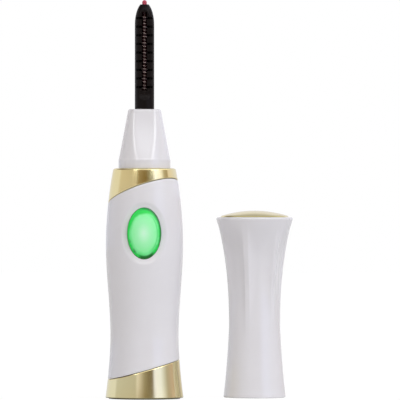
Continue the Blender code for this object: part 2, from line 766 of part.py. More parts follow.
def make_comb(material):
    heights = [comb_top - COMB_NOSE * i / DOME_RINGS for i in range(DOME_RINGS + 1)]
    nose = [(comb_nose(height), height) for height in heights]
    flange_high = comb_foot + COMB_FLANGE
    inside = [
        (stem_radius, flange_high),
        (comb_flange_radius, flange_high),
        (comb_flange_radius, comb_foot),
        (heater_bore_radius, comb_foot),
        (heater_bore_radius, heater_bore_top),
        (core_bore_radius, heater_bore_top),
        (core_bore_radius, comb_top),
    ]
    comb = turned("heater_comb", nose + inside, ROUND_STEPS)
    for turn, name in ((0.0, "front"), (math.pi, "back")):
        flat = scoop(f"comb_flat_{name}", 2 * stem_radius, stem_radius, comb_top - cone_top, COMB_FLAT_RUNOUT)
        place = Matrix.Translation((0.0, -comb_flat_depth, cone_top + COMB_FLAT_START))
        flat.matrix_world = Matrix.Rotation(turn, 4, "Z") @ place
        combine(comb, as_cutter(flat))
    channel_low = (-CHANNEL_HALF_WIDTH, -2 * stem_radius, cone_top + CHANNEL_START)
    channel_high = (CHANNEL_HALF_WIDTH, 0.0, heater_bore_top - FIT)
    combine(comb, as_cutter(block("comb_channel", channel_low, channel_high)))
    slots = []
    for i in range(SLOT_COUNT):
        middle = cone_top + SLOT_FIRST + i * SLOT_PITCH
        foot, top = middle - SLOT_HEIGHT / 2, middle + SLOT_HEIGHT / 2
        slots.append(((-slot_half_width, -2 * stem_radius, foot), (slot_half_width, -SLOT_WEB, top)))
    combine(comb, as_cutter(blocks("comb_slots", slots)))
    return paint(comb, material)


def make_core(material):
    foot = [(CORE_RADIUS, retainer_foot), (0.0, retainer_foot)]
    profile = rounded(CORE_RADIUS, core_top, CORE_RADIUS) + foot
    return paint(turned("heater_core", profile, SMALL_STEPS), material)


def make_coil(material):
    """One bare wire: a straight lead up beside the core, the winding, and a short straight end."""
    points = [Vector((coil_radius, 0.0, height)) for height in (lead_top + FIT, coil_foot - COIL_WIRE)]
    for i in range(COIL_TURNS * PER_CURL + 1):
        angle = (i + 1) * math.tau / PER_CURL
        height = coil_foot + (coil_top - coil_foot) * i / (COIL_TURNS * PER_CURL)
        points.append(Vector((coil_radius * math.cos(angle), coil_radius * math.sin(angle), height)))
    points.append(points[-1] + Vector((0.0, 0.0, COIL_WIRE)))
    print(f"heater_coil: least gap to itself {least_gap(points, COIL_WIRE) * 1000:.2f} mm")
    return paint(wire("heater_coil", points, COIL_WIRE), material)


def make_retainer(material):
    bore = lead_radius + LEAD_WIRE_RADIUS + FIT
    profile = [
        (bore, retainer_top),
        (comb_flange_radius, retainer_top),
        (comb_flange_radius, retainer_foot),
        (bore, retainer_foot),
    ]
    return paint(turned("heater_retainer", profile, ROUND_STEPS), material)


def make_lead(name, side, material):
    """An insulated wire from the top of the board, in past the neck and up to the heater's foot."""
    start = parts_back + LEAD_WIRE_RADIUS
    wide = side * LEAD_SPREAD
    near = side * lead_radius
    route = [
        (wide, -start, board_top - LEAD_TAIL),
        (wide, -start, board_top),
        (wide, -board_back, bore_top + NECK_STEP),
        (wide, -board_back / 2, neck_top),
        (near, -LEAD_WIRE_RADIUS, (neck_top + retainer_foot) / 2),
        (near, 0.0, retainer_foot),
        (near, 0.0, lead_top),
    ]
    return paint(wire(name, smooth_route(route), 2 * LEAD_WIRE_RADIUS), material)


# Cap


def cap_side_radius(height):
    """Radius of the cap's ridges: a flared foot, a waist and a wide rim."""
    if height < CAP_WAIST_HEIGHT:
        flare = cap_base_radius - cap_waist_radius
        return cap_waist_radius + flare * (1 - height / CAP_WAIST_HEIGHT) ** CAP_FOOT_POWER
    t = (height - CAP_WAIST_HEIGHT) / (cap_lip_height - CAP_WAIST_HEIGHT)
    return cap_waist_radius + CAP_RIM_SWELL * t**CAP_RIM_POWER


def flute_depth(height):
    """Depth of the flutes: they start above the waist, deepen upwards and run out in a cove under the lip."""
    deepest = cap_lip_height - CAP_COVE
    if height <= deepest:
        t = max(0.0, (height - CAP_FLUTE_START) / (deepest - CAP_FLUTE_START))
    else:
        t = max(0.0, (cap_lip_height - height) / CAP_COVE)
    return CAP_FLUTE_DEPTH * t * t * (3 - 2 * t)


def fluted_ring(height):
    points = []
    for i in range(CAP_STEPS):
        angle = math.tau * i / CAP_STEPS
        scallop = (1 + math.cos(CAP_FLUTES * (angle - CAP_FLUTE_TURN + math.pi / 2))) / 2
        radius = cap_side_radius(height) - flute_depth(height) * scallop
        points.append(Vector((radius * math.cos(angle), radius * math.sin(angle), height)))
    return points


def round_ring(radius, height):
    angles = [math.tau * i / CAP_STEPS for i in range(CAP_STEPS)]
    return [Vector((radius * math.cos(a), radius * math.sin(a), height)) for a in angles]


def cap_inside():
    """Rings up the inside of the cap: a mouth for the cone's foot, then a wall of even thickness."""
    bore = crown_skirt_radius + FIT
    top = crown_skirt_foot - FIT
    rings = [round_ring(cap_mouth_radius, 0.0), round_ring(cap_mouth_radius, CAP_MOUTH_DEPTH)]
    for i in range(CAP_INSIDE_RINGS):
        height = CAP_WAIST_HEIGHT + (top - CAP_WAIST_HEIGHT) * i / CAP_INSIDE_RINGS
        radius = cap_side_radius(height) - flute_depth(height) - CAP_WALL
        rings.append(round_ring(min(radius, bore), height))
    seat = crown_radius + FIT
    seat_floor = crown_edge_foot - FIT
    return rings + [round_ring(bore, top), round_ring(bore, seat_floor), round_ring(seat, seat_floor)]


def make_cap_shell(material):
    """A loft from the rim down the fluted outside, and back up the round inside."""
    flute_top = cap_lip_height - CAP_COVE
    outside = [round_ring(crown_radius + FIT, cap_rim_height)]
    outside += [round_ring(r, h) for r, h in rounded(cap_rim_radius, cap_rim_height, CAP_LIP_RISE)[:-1]]
    outside += [fluted_ring(cap_lip_height - CAP_COVE * i / CAP_COVE_RINGS) for i in range(CAP_COVE_RINGS)]
    outside += [fluted_ring(flute_top * (1 - i / (CAP_RINGS - 1))) for i in range(CAP_RINGS)]
    inside = cap_inside()
    bm = bmesh.new()
    rings = [[bm.verts.new(point) for point in ring] for ring in outside + inside]
    for upper, lower in zip(rings, rings[1:] + rings[:1]):
        for i in range(CAP_STEPS):
            j = (i + 1) % CAP_STEPS
            bm.faces.new((upper[i], lower[i], lower[j], upper[j]))
    bmesh.ops.recalc_face_normals(bm, faces=bm.faces)
    mesh = bpy.data.meshes.new("cap_shell")
    bm.to_mesh(mesh)
    bm.free()
    mesh.shade_smooth()
    mesh.set_sharp_from_angle(angle=math.radians(40))
    return paint(add_object("cap_shell", mesh, CAP_STAND), material)


def make_crown(material):
    inner = crown_skirt_radius - CROWN_SKIRT_WALL
    top = dome(crown_radius, crown_edge_top, CROWN_DOME, 2)
    under = [
        (crown_radius, crown_edge_foot),
        (crown_skirt_radius, crown_edge_foot),
        (crown_skirt_radius, crown_skirt_foot),
        (inner, crown_skirt_foot),
        (inner, crown_edge_foot),
        (0.0, crown_edge_foot),
    ]
    return paint(turned("cap_crown", top + under, WIDE_STEPS, CAP_STAND), material)


# The object

clear_scene()
PARTS = new_collection("eyelash_curler")
CUTTERS = new_collection("cutters")
BUTTON_AXIS = add_object("button_axis", None)
BUTTON_AXIS.location.z = button_height
BUTTON_AXIS.rotation_euler.x = math.radians(90)
BASE_AXIS = add_object("base_axis", None)
CAP_STAND = add_object("cap_stand", None)
CAP_STAND.location = (CAP_ASIDE, CAP_BEHIND, 0.0)

WHITE = finish_material("white_plastic", (0.74, 0.72, 0.75), 0.18)
GOLD = finish_material("gold_metal", (0.72, 0.58, 0.27), 0.16, 1.0)
BLACK = finish_material("black_plastic", (0.016, 0.013, 0.013), 0.35)
RED = finish_material("red_core", (0.47, 0.04, 0.08), 0.4)
HEATER_WIRE = finish_material("heater_wire", (0.45, 0.40, 0.38), 0.3, 1.0)
GREEN_LENS = finish_material("green_lens", (0.16, 0.85, 0.30), 0.12)
IVORY = finish_material("ivory_plastic", (0.62, 0.60, 0.55), 0.4)
BOARD_GREEN = finish_material("board_green", (0.02, 0.16, 0.07), 0.45)
CHIP_BLACK = finish_material("chip_black", (0.02, 0.02, 0.022), 0.5)
LED_WHITE = finish_material("led_white", (0.80, 0.82, 0.72), 0.25)
BRASS = finish_material("contact_brass", (0.62, 0.46, 0.18), 0.3, 1.0)
STEEL = finish_material("spring_steel", (0.55, 0.55, 0.56), 0.28, 1.0)
CELL_JACKET = finish_material("cell_jacket", (0.10, 0.16, 0.34), 0.35, 0.6)
BUSH = finish_material("heater_bush", (0.30, 0.24, 0.16), 0.5)
LEAD_RED = finish_material("lead_red", (0.45, 0.03, 0.03), 0.5)
LEAD_BLACK = finish_material("lead_black", (0.02, 0.02, 0.02), 0.5)

make_barrel(WHITE)
make_collar(GOLD)
make_base_cup(GOLD)
make_plug(IVORY)
make_plate(STEEL)
make_spring(STEEL)
make_cell(CELL_JACKET)
make_carrier(IVORY)
make_board(BOARD_GREEN)
for screw_name, screw_side, screw_height in screw_places():
    make_screw(screw_name, screw_side, screw_height, STEEL)
make_switch(CHIP_BLACK)
make_plunger(IVORY)
make_led(LED_WHITE)
make_chip(CHIP_BLACK)
make_positive_contact(BRASS)
make_strip(BRASS)
make_button(GREEN_LENS)
make_cone(WHITE)
make_comb(BLACK)
make_core(RED)
make_coil(HEATER_WIRE)
make_retainer(BUSH)
make_lead("lead_wire_left", -1, LEAD_BLACK)
make_lead("lead_wire_right", 1, LEAD_RED)
make_cap_shell(WHITE)
make_crown(GOLD)
print(f"wand {core_top * 1000:.1f} mm tall, cap {(crown_edge_top + CROWN_DOME) * 1000:.1f} mm tall")
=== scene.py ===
# %% [markdown]
# # A battery-heated eyelash curler
# A waisted white wand stands on its gold base. It has a gold collar, a green push button, a white nose cone
# and a slotted black comb round a heating coil, and its fluted cap stands beside it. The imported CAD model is
# the frame: it could be shown as it is, but its solids are coarse, so each piece that shows is made again at
# the same size and place with finer forms, and each finish is worked out in nodes.

# %% Load the frame
import json
import math

import bmesh
import bpy
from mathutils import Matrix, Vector

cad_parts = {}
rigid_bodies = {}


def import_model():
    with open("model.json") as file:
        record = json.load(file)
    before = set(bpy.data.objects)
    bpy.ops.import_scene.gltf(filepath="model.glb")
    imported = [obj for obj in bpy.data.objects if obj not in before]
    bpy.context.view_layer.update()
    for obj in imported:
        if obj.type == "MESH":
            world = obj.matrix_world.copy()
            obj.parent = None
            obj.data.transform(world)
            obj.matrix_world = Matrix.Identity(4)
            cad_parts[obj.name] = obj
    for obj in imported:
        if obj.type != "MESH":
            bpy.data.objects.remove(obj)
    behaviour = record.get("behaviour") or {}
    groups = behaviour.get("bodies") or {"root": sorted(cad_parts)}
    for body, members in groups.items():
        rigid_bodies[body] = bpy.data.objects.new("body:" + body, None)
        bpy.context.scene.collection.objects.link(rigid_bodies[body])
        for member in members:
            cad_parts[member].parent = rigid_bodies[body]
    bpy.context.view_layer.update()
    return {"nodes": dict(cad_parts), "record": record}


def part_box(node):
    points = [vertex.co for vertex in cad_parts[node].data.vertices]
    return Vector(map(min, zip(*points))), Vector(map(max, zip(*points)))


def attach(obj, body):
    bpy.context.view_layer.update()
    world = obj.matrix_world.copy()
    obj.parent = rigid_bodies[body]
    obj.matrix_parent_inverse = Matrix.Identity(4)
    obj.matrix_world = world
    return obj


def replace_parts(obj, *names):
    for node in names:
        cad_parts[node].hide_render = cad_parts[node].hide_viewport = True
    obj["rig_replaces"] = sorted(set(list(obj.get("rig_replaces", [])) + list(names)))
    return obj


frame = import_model()
scene = bpy.context.scene
scene.view_settings.view_transform = "Standard"
body_of = {node: body for body, nodes in frame["record"]["behaviour"]["bodies"].items() for node in nodes}
slot_of = {item["node"]: item["material_slot"] for item in frame["record"]["subparts"]}

# %% [markdown]
# ## Camera
# The picture is taken from far off, level with the middle of the wand, so its upright edges stay parallel. A
# long lens at a real distance gives that. The scale, in metres for each pixel, comes from the wand's height.

# %% Camera
PIXEL = 0.000318
FRAME_PIXELS = 400
CAMERA_DISTANCE = 1.75
CAMERA_SIDE = 0.01765
CAMERA_HEIGHT = 0.0631

camera_data = bpy.data.cameras.new("camera")
camera_data.lens = camera_data.sensor_width * CAMERA_DISTANCE / (PIXEL * FRAME_PIXELS)
camera = bpy.data.objects.new("camera", camera_data)
camera.location = (CAMERA_SIDE, -CAMERA_DISTANCE, CAMERA_HEIGHT)
camera.rotation_euler.x = math.radians(90)
scene.collection.objects.link(camera)
scene.camera = camera
print(f"camera: {camera_data.lens:.0f} mm lens at {CAMERA_DISTANCE} m")

# %% [markdown]
# ## Writing nodes as sums
# A finish is a net of small nodes. Adding each by hand is long to read, so one class wraps a socket: sums
# written on it in Python add the Math nodes, and one method adds any other kind of node. The same class
# writes shaders, the world and Geometry Nodes.


# %% Node writing
class Term:
    """A socket in a node tree. Arithmetic on it adds Math nodes, and node() adds any other node."""

    def __init__(self, tree, socket=None):
        self.tree = tree
        self.socket = socket

    def node(self, kind, settings, inputs, output=0):
        """Add a node. Its settings come first, then a value, a link or several links for each socket."""
        made = self.tree.nodes.new(kind)
        for name, value in settings.items():
            if name == "stops":
                ramp = made.color_ramp.elements
                while len(ramp) < len(value):
                    ramp.new(1.0)
                for element, (position, colour) in zip(ramp, value):
                    element.position = position
                    element.color = (*colour, 1.0)
            else:
                setattr(made, name, value)
        for name, value in inputs.items():
            for item in value if isinstance(value, list) else [value]:
                if isinstance(item, Term):
                    self.tree.links.new(item.socket, made.inputs[name])
                else:
                    made.inputs[name].default_value = item
        return Term(self.tree, made.outputs[output])

    def math(self, operation, first, second=0.0):
        return self.node("ShaderNodeMath", {"operation": operation}, {0: first, 1: second})

    def __add__(self, other):
        return self.math("ADD", self, other)

    def __sub__(self, other):
        return self.math("SUBTRACT", self, other)

    def __rsub__(self, other):
        return self.math("SUBTRACT", other, self)

    def __mul__(self, other):
        return self.math("MULTIPLY", self, other)

    def __truediv__(self, other):
        return self.math("DIVIDE", self, other)

    def __rtruediv__(self, other):
        return self.math("DIVIDE", other, self)

    def __pow__(self, other):
        return self.math("POWER", self, other)

    __radd__ = __add__
    __rmul__ = __mul__

    def split(self):
        """The X, Y and Z of a vector."""
        return [self.node("ShaderNodeSeparateXYZ", {}, {0: self}, axis) for axis in "XYZ"]

    def between(self, low, high):
        """How far the value has come from low to high, eased and kept from 0 to 1."""
        limits = {"Value": self, "From Min": low, "From Max": high}
        return self.node("ShaderNodeMapRange", {"interpolation_type": "SMOOTHSTEP"}, limits)

    def ramp(self, stops):
        return self.node("ShaderNodeValToRGB", {"stops": stops}, {"Fac": self})

    def tint(self, first, second):
        """A colour that goes from the first to the second as the value goes from 0 to 1."""
        return self.node("ShaderNodeMix", {"data_type": "RGBA"}, {0: self, 6: first, 7: second}, 2)


def colour(red, green, blue):
    return (red, green, blue, 1.0)


print("nodes: arithmetic on sockets is ready")

# %% [markdown]
# ## Studio
# The real set is a white sweep with a dark camera side, a soft light to the right of the camera, a white card
# on the right and a greyer one on the left. They show as upright bands in the gold, and two small lamps show
# as bright lines on the ridges of the cone. Cards and lamps could be built as objects, but the world can hold
# the same bands by compass direction, which lights softly and without noise. Rays from the camera see plain
# white, and the floor is white with only a faint shadow.

# %% Studio light
# Light by compass angle round the object: 0 is the camera and 90 the right. The cards hang at a slant, so
# what the base mirrors, low down, isn't quite what the collar mirrors
LOW_STOPS = [
    (-180, (0.80, 0.82, 0.88)),
    (-102, (0.83, 0.87, 1.02)),
    (-94, (0.62, 0.64, 0.70)),
    (-28, (0.58, 0.58, 0.62)),
    (-22, (0.86, 0.85, 0.98)),
    (-14, (0.72, 0.68, 0.74)),
    (0, (0.38, 0.35, 0.30)),
    (14, (0.24, 0.20, 0.15)),
    (26, (0.22, 0.18, 0.15)),
    (33, (1.02, 1.08, 1.60)),
    (54, (0.97, 1.07, 1.52)),
    (66, (0.70, 0.74, 0.92)),
    (78, (0.50, 0.47, 0.48)),
    (96, (0.60, 0.49, 0.50)),
    (125, (0.52, 0.43, 0.38)),
    (180, (0.80, 0.82, 0.88)),
]
HIGH_STOPS = [
    (-180, (0.84, 0.83, 0.86)),
    (-100, (0.85, 0.83, 0.84)),
    (-92, (0.72, 0.65, 0.58)),
    (-32, (0.64, 0.57, 0.50)),
    (-20, (0.33, 0.25, 0.14)),
    (6, (0.22, 0.14, 0.04)),
    (16, (0.30, 0.27, 0.20)),
    (32, (0.46, 0.48, 0.54)),
    (38, (1.14, 1.20, 1.62)),
    (50, (1.12, 1.17, 1.50)),
    (64, (1.12, 1.12, 1.28)),
    (76, (0.56, 0.50, 0.43)),
    (91, (0.42, 0.34, 0.25)),
    (97, (0.88, 0.79, 0.77)),
    (135, (0.86, 0.87, 1.02)),
    (180, (0.84, 0.83, 0.86)),
]
SKY_STOPS = [
    (-180, (0.50, 0.49, 0.50)),
    (-120, (0.12, 0.09, 0.09)),
    (-65, (0.20, 0.14, 0.14)),
    (-20, (2.20, 2.18, 2.22)),
    (30, (2.60, 2.61, 2.64)),
    (90, (2.00, 2.01, 2.03)),
    (135, (0.80, 0.80, 0.81)),
    (180, (0.50, 0.49, 0.50)),
]
# Heights at which the light changes. The first is the slope of the mirror that shows it, the others are sines
CARD_CHANGE = (0.100, 0.135)
SKY_CHANGE = (0.40, 0.54)
TOP_CHANGE = (0.64, 0.84)
TOP_LIGHT = colour(0.55, 0.55, 0.56)
# Lamps over the cards: compass angle, its half width, height as a sine, its half width, and strength
LAMPS = [(-34, 9, 0.45, 0.065, 6.0), (42, 18, 0.45, 0.07, 6.0)]

world = bpy.data.worlds.new("studio")
world.use_nodes = True
scene.world = world
start = Term(world.node_tree)
east, north, up = start.node("ShaderNodeTexCoord", {}, {}, "Generated").split()
turn = start.math("ARCTAN2", east, 0.0 - north) / math.tau + 0.5
rise = start.math("ABSOLUTE", up)
low, high, sky = [
    turn.ramp([(angle / 360 + 0.5, light) for angle, light in stops])
    for stops in (LOW_STOPS, HIGH_STOPS, SKY_STOPS)
]
facing = (2 - 2 * north / (1 - rise * rise) ** 0.5) ** 0.5 + 0.01
band = (rise / facing).between(*CARD_CHANGE).tint(low, high)
studio = rise.between(*SKY_CHANGE).tint(band, sky)
studio = rise.between(*TOP_CHANGE).tint(studio, TOP_LIGHT)
for angle, spread, level, reach, power in LAMPS:
    aside = start.math("ABSOLUTE", turn - (angle / 360 + 0.5)) * 360
    wide = 1 - aside.between(spread * 0.8, spread)
    tall = 1 - start.math("ABSOLUTE", up - level).between(reach * 0.7, reach)
    studio = (wide * tall).tint(studio, colour(power, power, power))
seen = start.node("ShaderNodeLightPath", {}, {}, "Is Camera Ray")
background = world.node_tree.nodes["Background"]
world.node_tree.links.new(seen.tint(studio, colour(1, 1, 1)).socket, background.inputs["Color"])
print(f"studio: {len(LOW_STOPS) + len(HIGH_STOPS)} stops round the horizon and {len(LAMPS)} lamps")

# %% Floor
FLOOR_HALF = 3.0
FLOOR_SHADOW = 0.12
FLOOR_GLOSS = 0.4
FLOOR_PAPER = colour(0.60, 0.60, 0.60)
FLOOR_GLOW = 1.08

bm = bmesh.new()
bmesh.ops.create_grid(bm, x_segments=1, y_segments=1, size=FLOOR_HALF)
floor_mesh = bpy.data.meshes.new("floor")
bm.to_mesh(floor_mesh)
bm.free()
floor = bpy.data.objects.new("floor", floor_mesh)
scene.collection.objects.link(floor)

paper = bpy.data.materials.new("white_paper")
paper.use_nodes = True
paper_shader = paper.node_tree.nodes["Principled BSDF"]
paper_shader.inputs["Base Color"].default_value = FLOOR_PAPER
paper_shader.inputs["Roughness"].default_value = 0.9
paper_shader.inputs["Specular IOR Level"].default_value = 0.0
start = Term(paper.node_tree)
rays = {name: start.node("ShaderNodeLightPath", {}, {}, name) for name in ("Is Camera Ray", "Is Glossy Ray")}
seen = rays["Is Camera Ray"] * (1 - FLOOR_SHADOW) + rays["Is Glossy Ray"] * FLOOR_GLOSS
glow = start.node("ShaderNodeEmission", {}, {"Color": colour(1, 1, 1), "Strength": FLOOR_GLOW})
plain = Term(paper.node_tree, paper_shader.outputs["BSDF"])
mix = start.node("ShaderNodeMixShader", {}, {0: seen, 1: plain, 2: glow})
paper.node_tree.links.new(mix.socket, paper.node_tree.nodes["Material Output"].inputs["Surface"])
floor_mesh.materials.append(paper)
print("floor: white paper with a faint shadow")

# %% [markdown]
# ## Finishes
# Each finish starts from one Principled shader. What is the same all over, such as gloss or coat, is set on
# the shader's own sockets. What changes over the surface, such as a mottle, dust or a soft waviness of the
# mould, comes from noise in Object coordinates, in metres, so its scale is the real one.

# %% Finish helpers
finishes = {}


def new_finish(name, **constants):
    """A named material with its constants set, and a Term to write its nodes from."""
    material = bpy.data.materials.new(name)
    material.use_nodes = True
    shader = material.node_tree.nodes["Principled BSDF"]
    for socket, value in constants.items():
        shader.inputs[socket.replace("_", " ")].default_value = value
    finishes[name] = material
    return Term(material.node_tree), shader


def feed(shader, socket, term):
    shader.id_data.links.new(term.socket, shader.inputs[socket])


def place(start):
    return start.node("ShaderNodeTexCoord", {}, {}, "Object")


def noise(start, where, grain, detail=2.0):
    """Noise from 0 to 1, with a grain of the given size in metres."""
    return start.node("ShaderNodeTexNoise", {}, {"Vector": where, "Scale": 1 / grain, "Detail": detail})


def bump(start, height, depth):
    """A bump of the given depth in metres."""
    return start.node("ShaderNodeBump", {}, {"Height": height, "Distance": depth, "Strength": 1.0})


print("finishes: helpers are ready")

# %% [markdown]
# ### White plastic and gold
# The casing, the cone and the cap are glossy white plastic with a pearly, very slightly warm mottle and the
# faint waviness of a moulding. The gold pieces are polished and anodised metal: smooth, with a fine haze, and
# rougher at the very edge on which the wand stands, where a painted shade darkens the colour to a dark line.

# %% White plastic and gold
start, shader = new_finish("white_plastic", Coat_Weight=0.3, Coat_Roughness=0.05, IOR=1.46)
where = place(start)
mottle = noise(start, where, 0.009)
feed(shader, "Base Color", mottle.tint(colour(0.800, 0.786, 0.798), colour(0.830, 0.820, 0.834)))
feed(shader, "Roughness", 0.09 + noise(start, where, 0.0016, 3.0) * 0.05)
feed(shader, "Normal", bump(start, noise(start, where, 0.004), 0.000012))

FOOT_SHADE_HEIGHTS = (0.0003, 0.0007)
start, shader = new_finish("gold_metal", Metallic=1.0)
where = place(start)
haze = noise(start, where, 0.005, 3.0)
# Painted shade: the bottom fraction of a millimetre of the gold is coloured dark brown, a dark line where the
# wand stands
foot_shade = 1 - where.split()[2].between(*FOOT_SHADE_HEIGHTS)
gold = haze.tint(colour(0.845, 0.74, 0.40), colour(0.875, 0.78, 0.44))
feed(shader, "Base Color", foot_shade.tint(gold, colour(0.10, 0.08, 0.05)))
feed(shader, "Roughness", 0.10 + haze * 0.06 + foot_shade * 0.3)
feed(shader, "Normal", bump(start, noise(start, where, 0.003), 0.000006))
print("finishes:", ", ".join(finishes))

# %% [markdown]
# ### Comb, core and coil
# The comb is black heat-resisting plastic, satin and dusty, with pale specks between its teeth. The core is a
# red rod whose end shows as a bead at the tip; inside the comb its colour is painted near black, as shade.
# The coil is bare wire, browned by heat.

# %% Comb, core and coil finishes
start, shader = new_finish("black_plastic", IOR=1.22)
where = place(start)
dust = noise(start, where, 0.00035, 1.0).between(0.62, 0.74)
patch = noise(start, where, 0.004).between(0.45, 0.70)
feed(shader, "Base Color", (dust * patch).tint(colour(0.0050, 0.0026, 0.0022), colour(0.06, 0.044, 0.040)))
feed(shader, "Roughness", 0.30 + noise(start, where, 0.0009) * 0.16)
feed(shader, "Normal", bump(start, noise(start, where, 0.0004), 0.00001))

BEAD_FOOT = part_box("heater_comb")[1].z - 0.0012
BEAD_FADE = 0.0008
start, shader = new_finish("red_core", IOR=1.5)
where = place(start)
worn = noise(start, where, 0.0005, 3.0)
# Painted shade: below the bead the core is coloured near black, for the shade inside the comb
above_painted_shade = where.split()[2].between(BEAD_FOOT, BEAD_FOOT + BEAD_FADE)
red = worn.tint(colour(0.36, 0.022, 0.05), colour(0.56, 0.075, 0.12))
feed(shader, "Base Color", above_painted_shade.tint(colour(0.050, 0.005, 0.007), red))
feed(shader, "Roughness", 0.34 + worn * 0.15)

start, shader = new_finish("heater_wire", Metallic=1.0)
where = place(start)
heat = noise(start, where, 0.002)
feed(shader, "Base Color", heat.tint(colour(0.15, 0.12, 0.11), colour(0.34, 0.26, 0.24)))
feed(shader, "Roughness", 0.24 + heat * 0.16)
print("finishes:", ", ".join(finishes))

# %% [markdown]
# ### Button
# The button is a translucent green dome. Its light is painted: a pale middle and a faint emission stand for a
# lamp behind it, and a deep green ring, a dark rim at the upper right, a darker foot and a dark line and spots
# near the edge are painted shade. A real lamp inside clear plastic could light it, but a colour by distance
# from the middle of the oval is clean in every view and in the exported model.

# %% Button finish
button_low, button_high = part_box("power_button")
BUTTON_HALF_WIDTH = (button_high.x - button_low.x) / 2
BUTTON_HALF_HEIGHT = 0.00807
BUTTON_HEIGHT = (button_low.z + button_high.z) / 2
LENS_GLOW = 0.2
# Painted glow: pale in the middle, deeper green outwards
GLOW_STOPS = [
    (0.00, (0.580, 0.920, 0.640)),
    (0.40, (0.330, 0.850, 0.420)),
    (0.70, (0.240, 0.840, 0.330)),
    (0.82, (0.110, 0.740, 0.200)),
    (1.00, (0.070, 0.600, 0.150)),
]

start, shader = new_finish("green_lens", Roughness=0.34, IOR=1.40)
side, depth, height = place(start).split()
across = side / BUTTON_HALF_WIDTH
along = (height - BUTTON_HEIGHT) / BUTTON_HALF_HEIGHT
reach = (across * across + along * along) ** 0.5
east, north = across / (reach + 0.001), along / (reach + 0.001)
cloud = noise(start, place(start), 0.0022)
# Painted shade: a deep green ring round the edge, wider at the top
upper = start.math("MAXIMUM", north - east * 0.25, 0.0)
inner = 0.90 - upper * upper * 0.10 + (cloud - 0.5) * 0.10
# Painted glow: the pale middle, with cloudy pale patches in it
lens = (cloud.between(0.3, 0.8) * 0.25).tint(reach.ramp(GLOW_STOPS), colour(0.36, 0.86, 0.50))
lens = ((reach - inner).between(-0.05, 0.05) * 0.95).tint(lens, colour(0.010, 0.620, 0.065))
# Painted shade: a thin dark line on the right side of the edge
line = 1 - start.math("ABSOLUTE", reach - 0.79).between(0.008, 0.035)
lens = (line * east.between(0.45, 0.85) * 0.45).tint(lens, colour(0.05, 0.50, 0.12))
# Painted shade: the rim is darkened towards the upper right
rim = reach.between(0.89, 0.96) * (east * 0.8 + north * 0.6).between(0.15, 0.75)
lens = (rim * 0.8).tint(lens, colour(0.012, 0.170, 0.040))
# Painted shade: the lower edge, the foot, is darkened to a dark crescent
foot = reach.between(0.84, 0.92) * (east * 0.15 - north * 0.99).between(0.84, 0.96)
lens = (foot * 0.95).tint(lens, colour(0.001, 0.120, 0.010))
# Painted shade: cloudy dark spots on the lower left of the edge
edge_spots_painted_shade = reach.between(0.80, 0.90) * (0.0 - east * 0.80 - north * 0.60).between(0.90, 0.98)
lens = (edge_spots_painted_shade * cloud.between(0.42, 0.58) * 0.8).tint(lens, colour(0.008, 0.200, 0.030))
feed(shader, "Base Color", lens)
# Painted glow: the lens colour is also given off as emission
feed(shader, "Emission Color", lens)
shader.inputs["Emission Strength"].default_value = LENS_GLOW
print("finishes:", ", ".join(finishes))

# %% [markdown]
# ### Inner pieces
# The inner pieces only show when the base is drawn off: moulded ivory plastic, a coated circuit board, black
# moulded chips, nickel and brass contacts, a plain printed cell sleeve, a ceramic bush and sleeved wires.

# %% Inner finishes
INNER = {
    # slot: dark colour, light colour, grain, roughness, metallic
    "ivory_plastic": ((0.56, 0.54, 0.48), (0.66, 0.64, 0.58), 0.003, 0.42, 0.0),
    "chip_black": ((0.014, 0.014, 0.016), (0.03, 0.03, 0.033), 0.0003, 0.48, 0.0),
    "led_white": ((0.74, 0.76, 0.64), (0.86, 0.88, 0.78), 0.0008, 0.20, 0.0),
    "contact_brass": ((0.52, 0.37, 0.13), (0.70, 0.53, 0.22), 0.0012, 0.26, 1.0),
    "spring_steel": ((0.46, 0.46, 0.47), (0.64, 0.64, 0.65), 0.0010, 0.24, 1.0),
    "heater_bush": ((0.24, 0.19, 0.12), (0.36, 0.29, 0.20), 0.0005, 0.50, 0.0),
    "lead_red": ((0.38, 0.02, 0.02), (0.50, 0.04, 0.04), 0.0010, 0.50, 0.0),
    "lead_black": ((0.014, 0.014, 0.014), (0.03, 0.03, 0.03), 0.0010, 0.50, 0.0),
}
for slot, (dark, light, grain, rough, metallic) in INNER.items():
    start, shader = new_finish(slot, Metallic=metallic)
    where = place(start)
    speck = noise(start, where, grain, 3.0)
    feed(shader, "Base Color", speck.tint(colour(*dark), colour(*light)))
    feed(shader, "Roughness", rough - 0.06 + speck * 0.12)
    feed(shader, "Normal", bump(start, speck, grain / 200))
print("finishes:", ", ".join(INNER))

# %% Board and cell sleeve
TRACK_PITCH = 0.0011
start, shader = new_finish("board_green")
side, depth, height = place(start).split()
wander = noise(start, place(start), 0.004) * 0.004
track = start.math("PINGPONG", side + wander, TRACK_PITCH / 2).between(TRACK_PITCH * 0.26, TRACK_PITCH * 0.32)
feed(shader, "Base Color", track.tint(colour(0.014, 0.12, 0.05), colour(0.03, 0.22, 0.10)))
feed(shader, "Roughness", 0.36 + track * 0.12)

SLEEVE_FOOT = 0.0030
SLEEVE_BAND = 0.0120
cell_low, cell_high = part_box("battery_cell")
start, shader = new_finish("cell_jacket")
side, depth, height = place(start).split()
sleeve = height.between(cell_low.z + SLEEVE_FOOT / 6, cell_low.z + SLEEVE_FOOT / 5)
sleeve = sleeve * (1 - height.between(cell_high.z - SLEEVE_FOOT * 0.62, cell_high.z - SLEEVE_FOOT * 0.60))
copper = height.between(cell_high.z - SLEEVE_BAND - 0.0001, cell_high.z - SLEEVE_BAND)
print_tone = copper.tint(colour(0.055, 0.10, 0.26), colour(0.52, 0.27, 0.13))
feed(shader, "Base Color", sleeve.tint(colour(0.58, 0.58, 0.58), print_tone))
feed(shader, "Metallic", 1 - sleeve * 0.45)
feed(shader, "Roughness", 0.24 + noise(start, place(start), 0.001) * 0.1)
print("finishes:", ", ".join(sorted(finishes)))

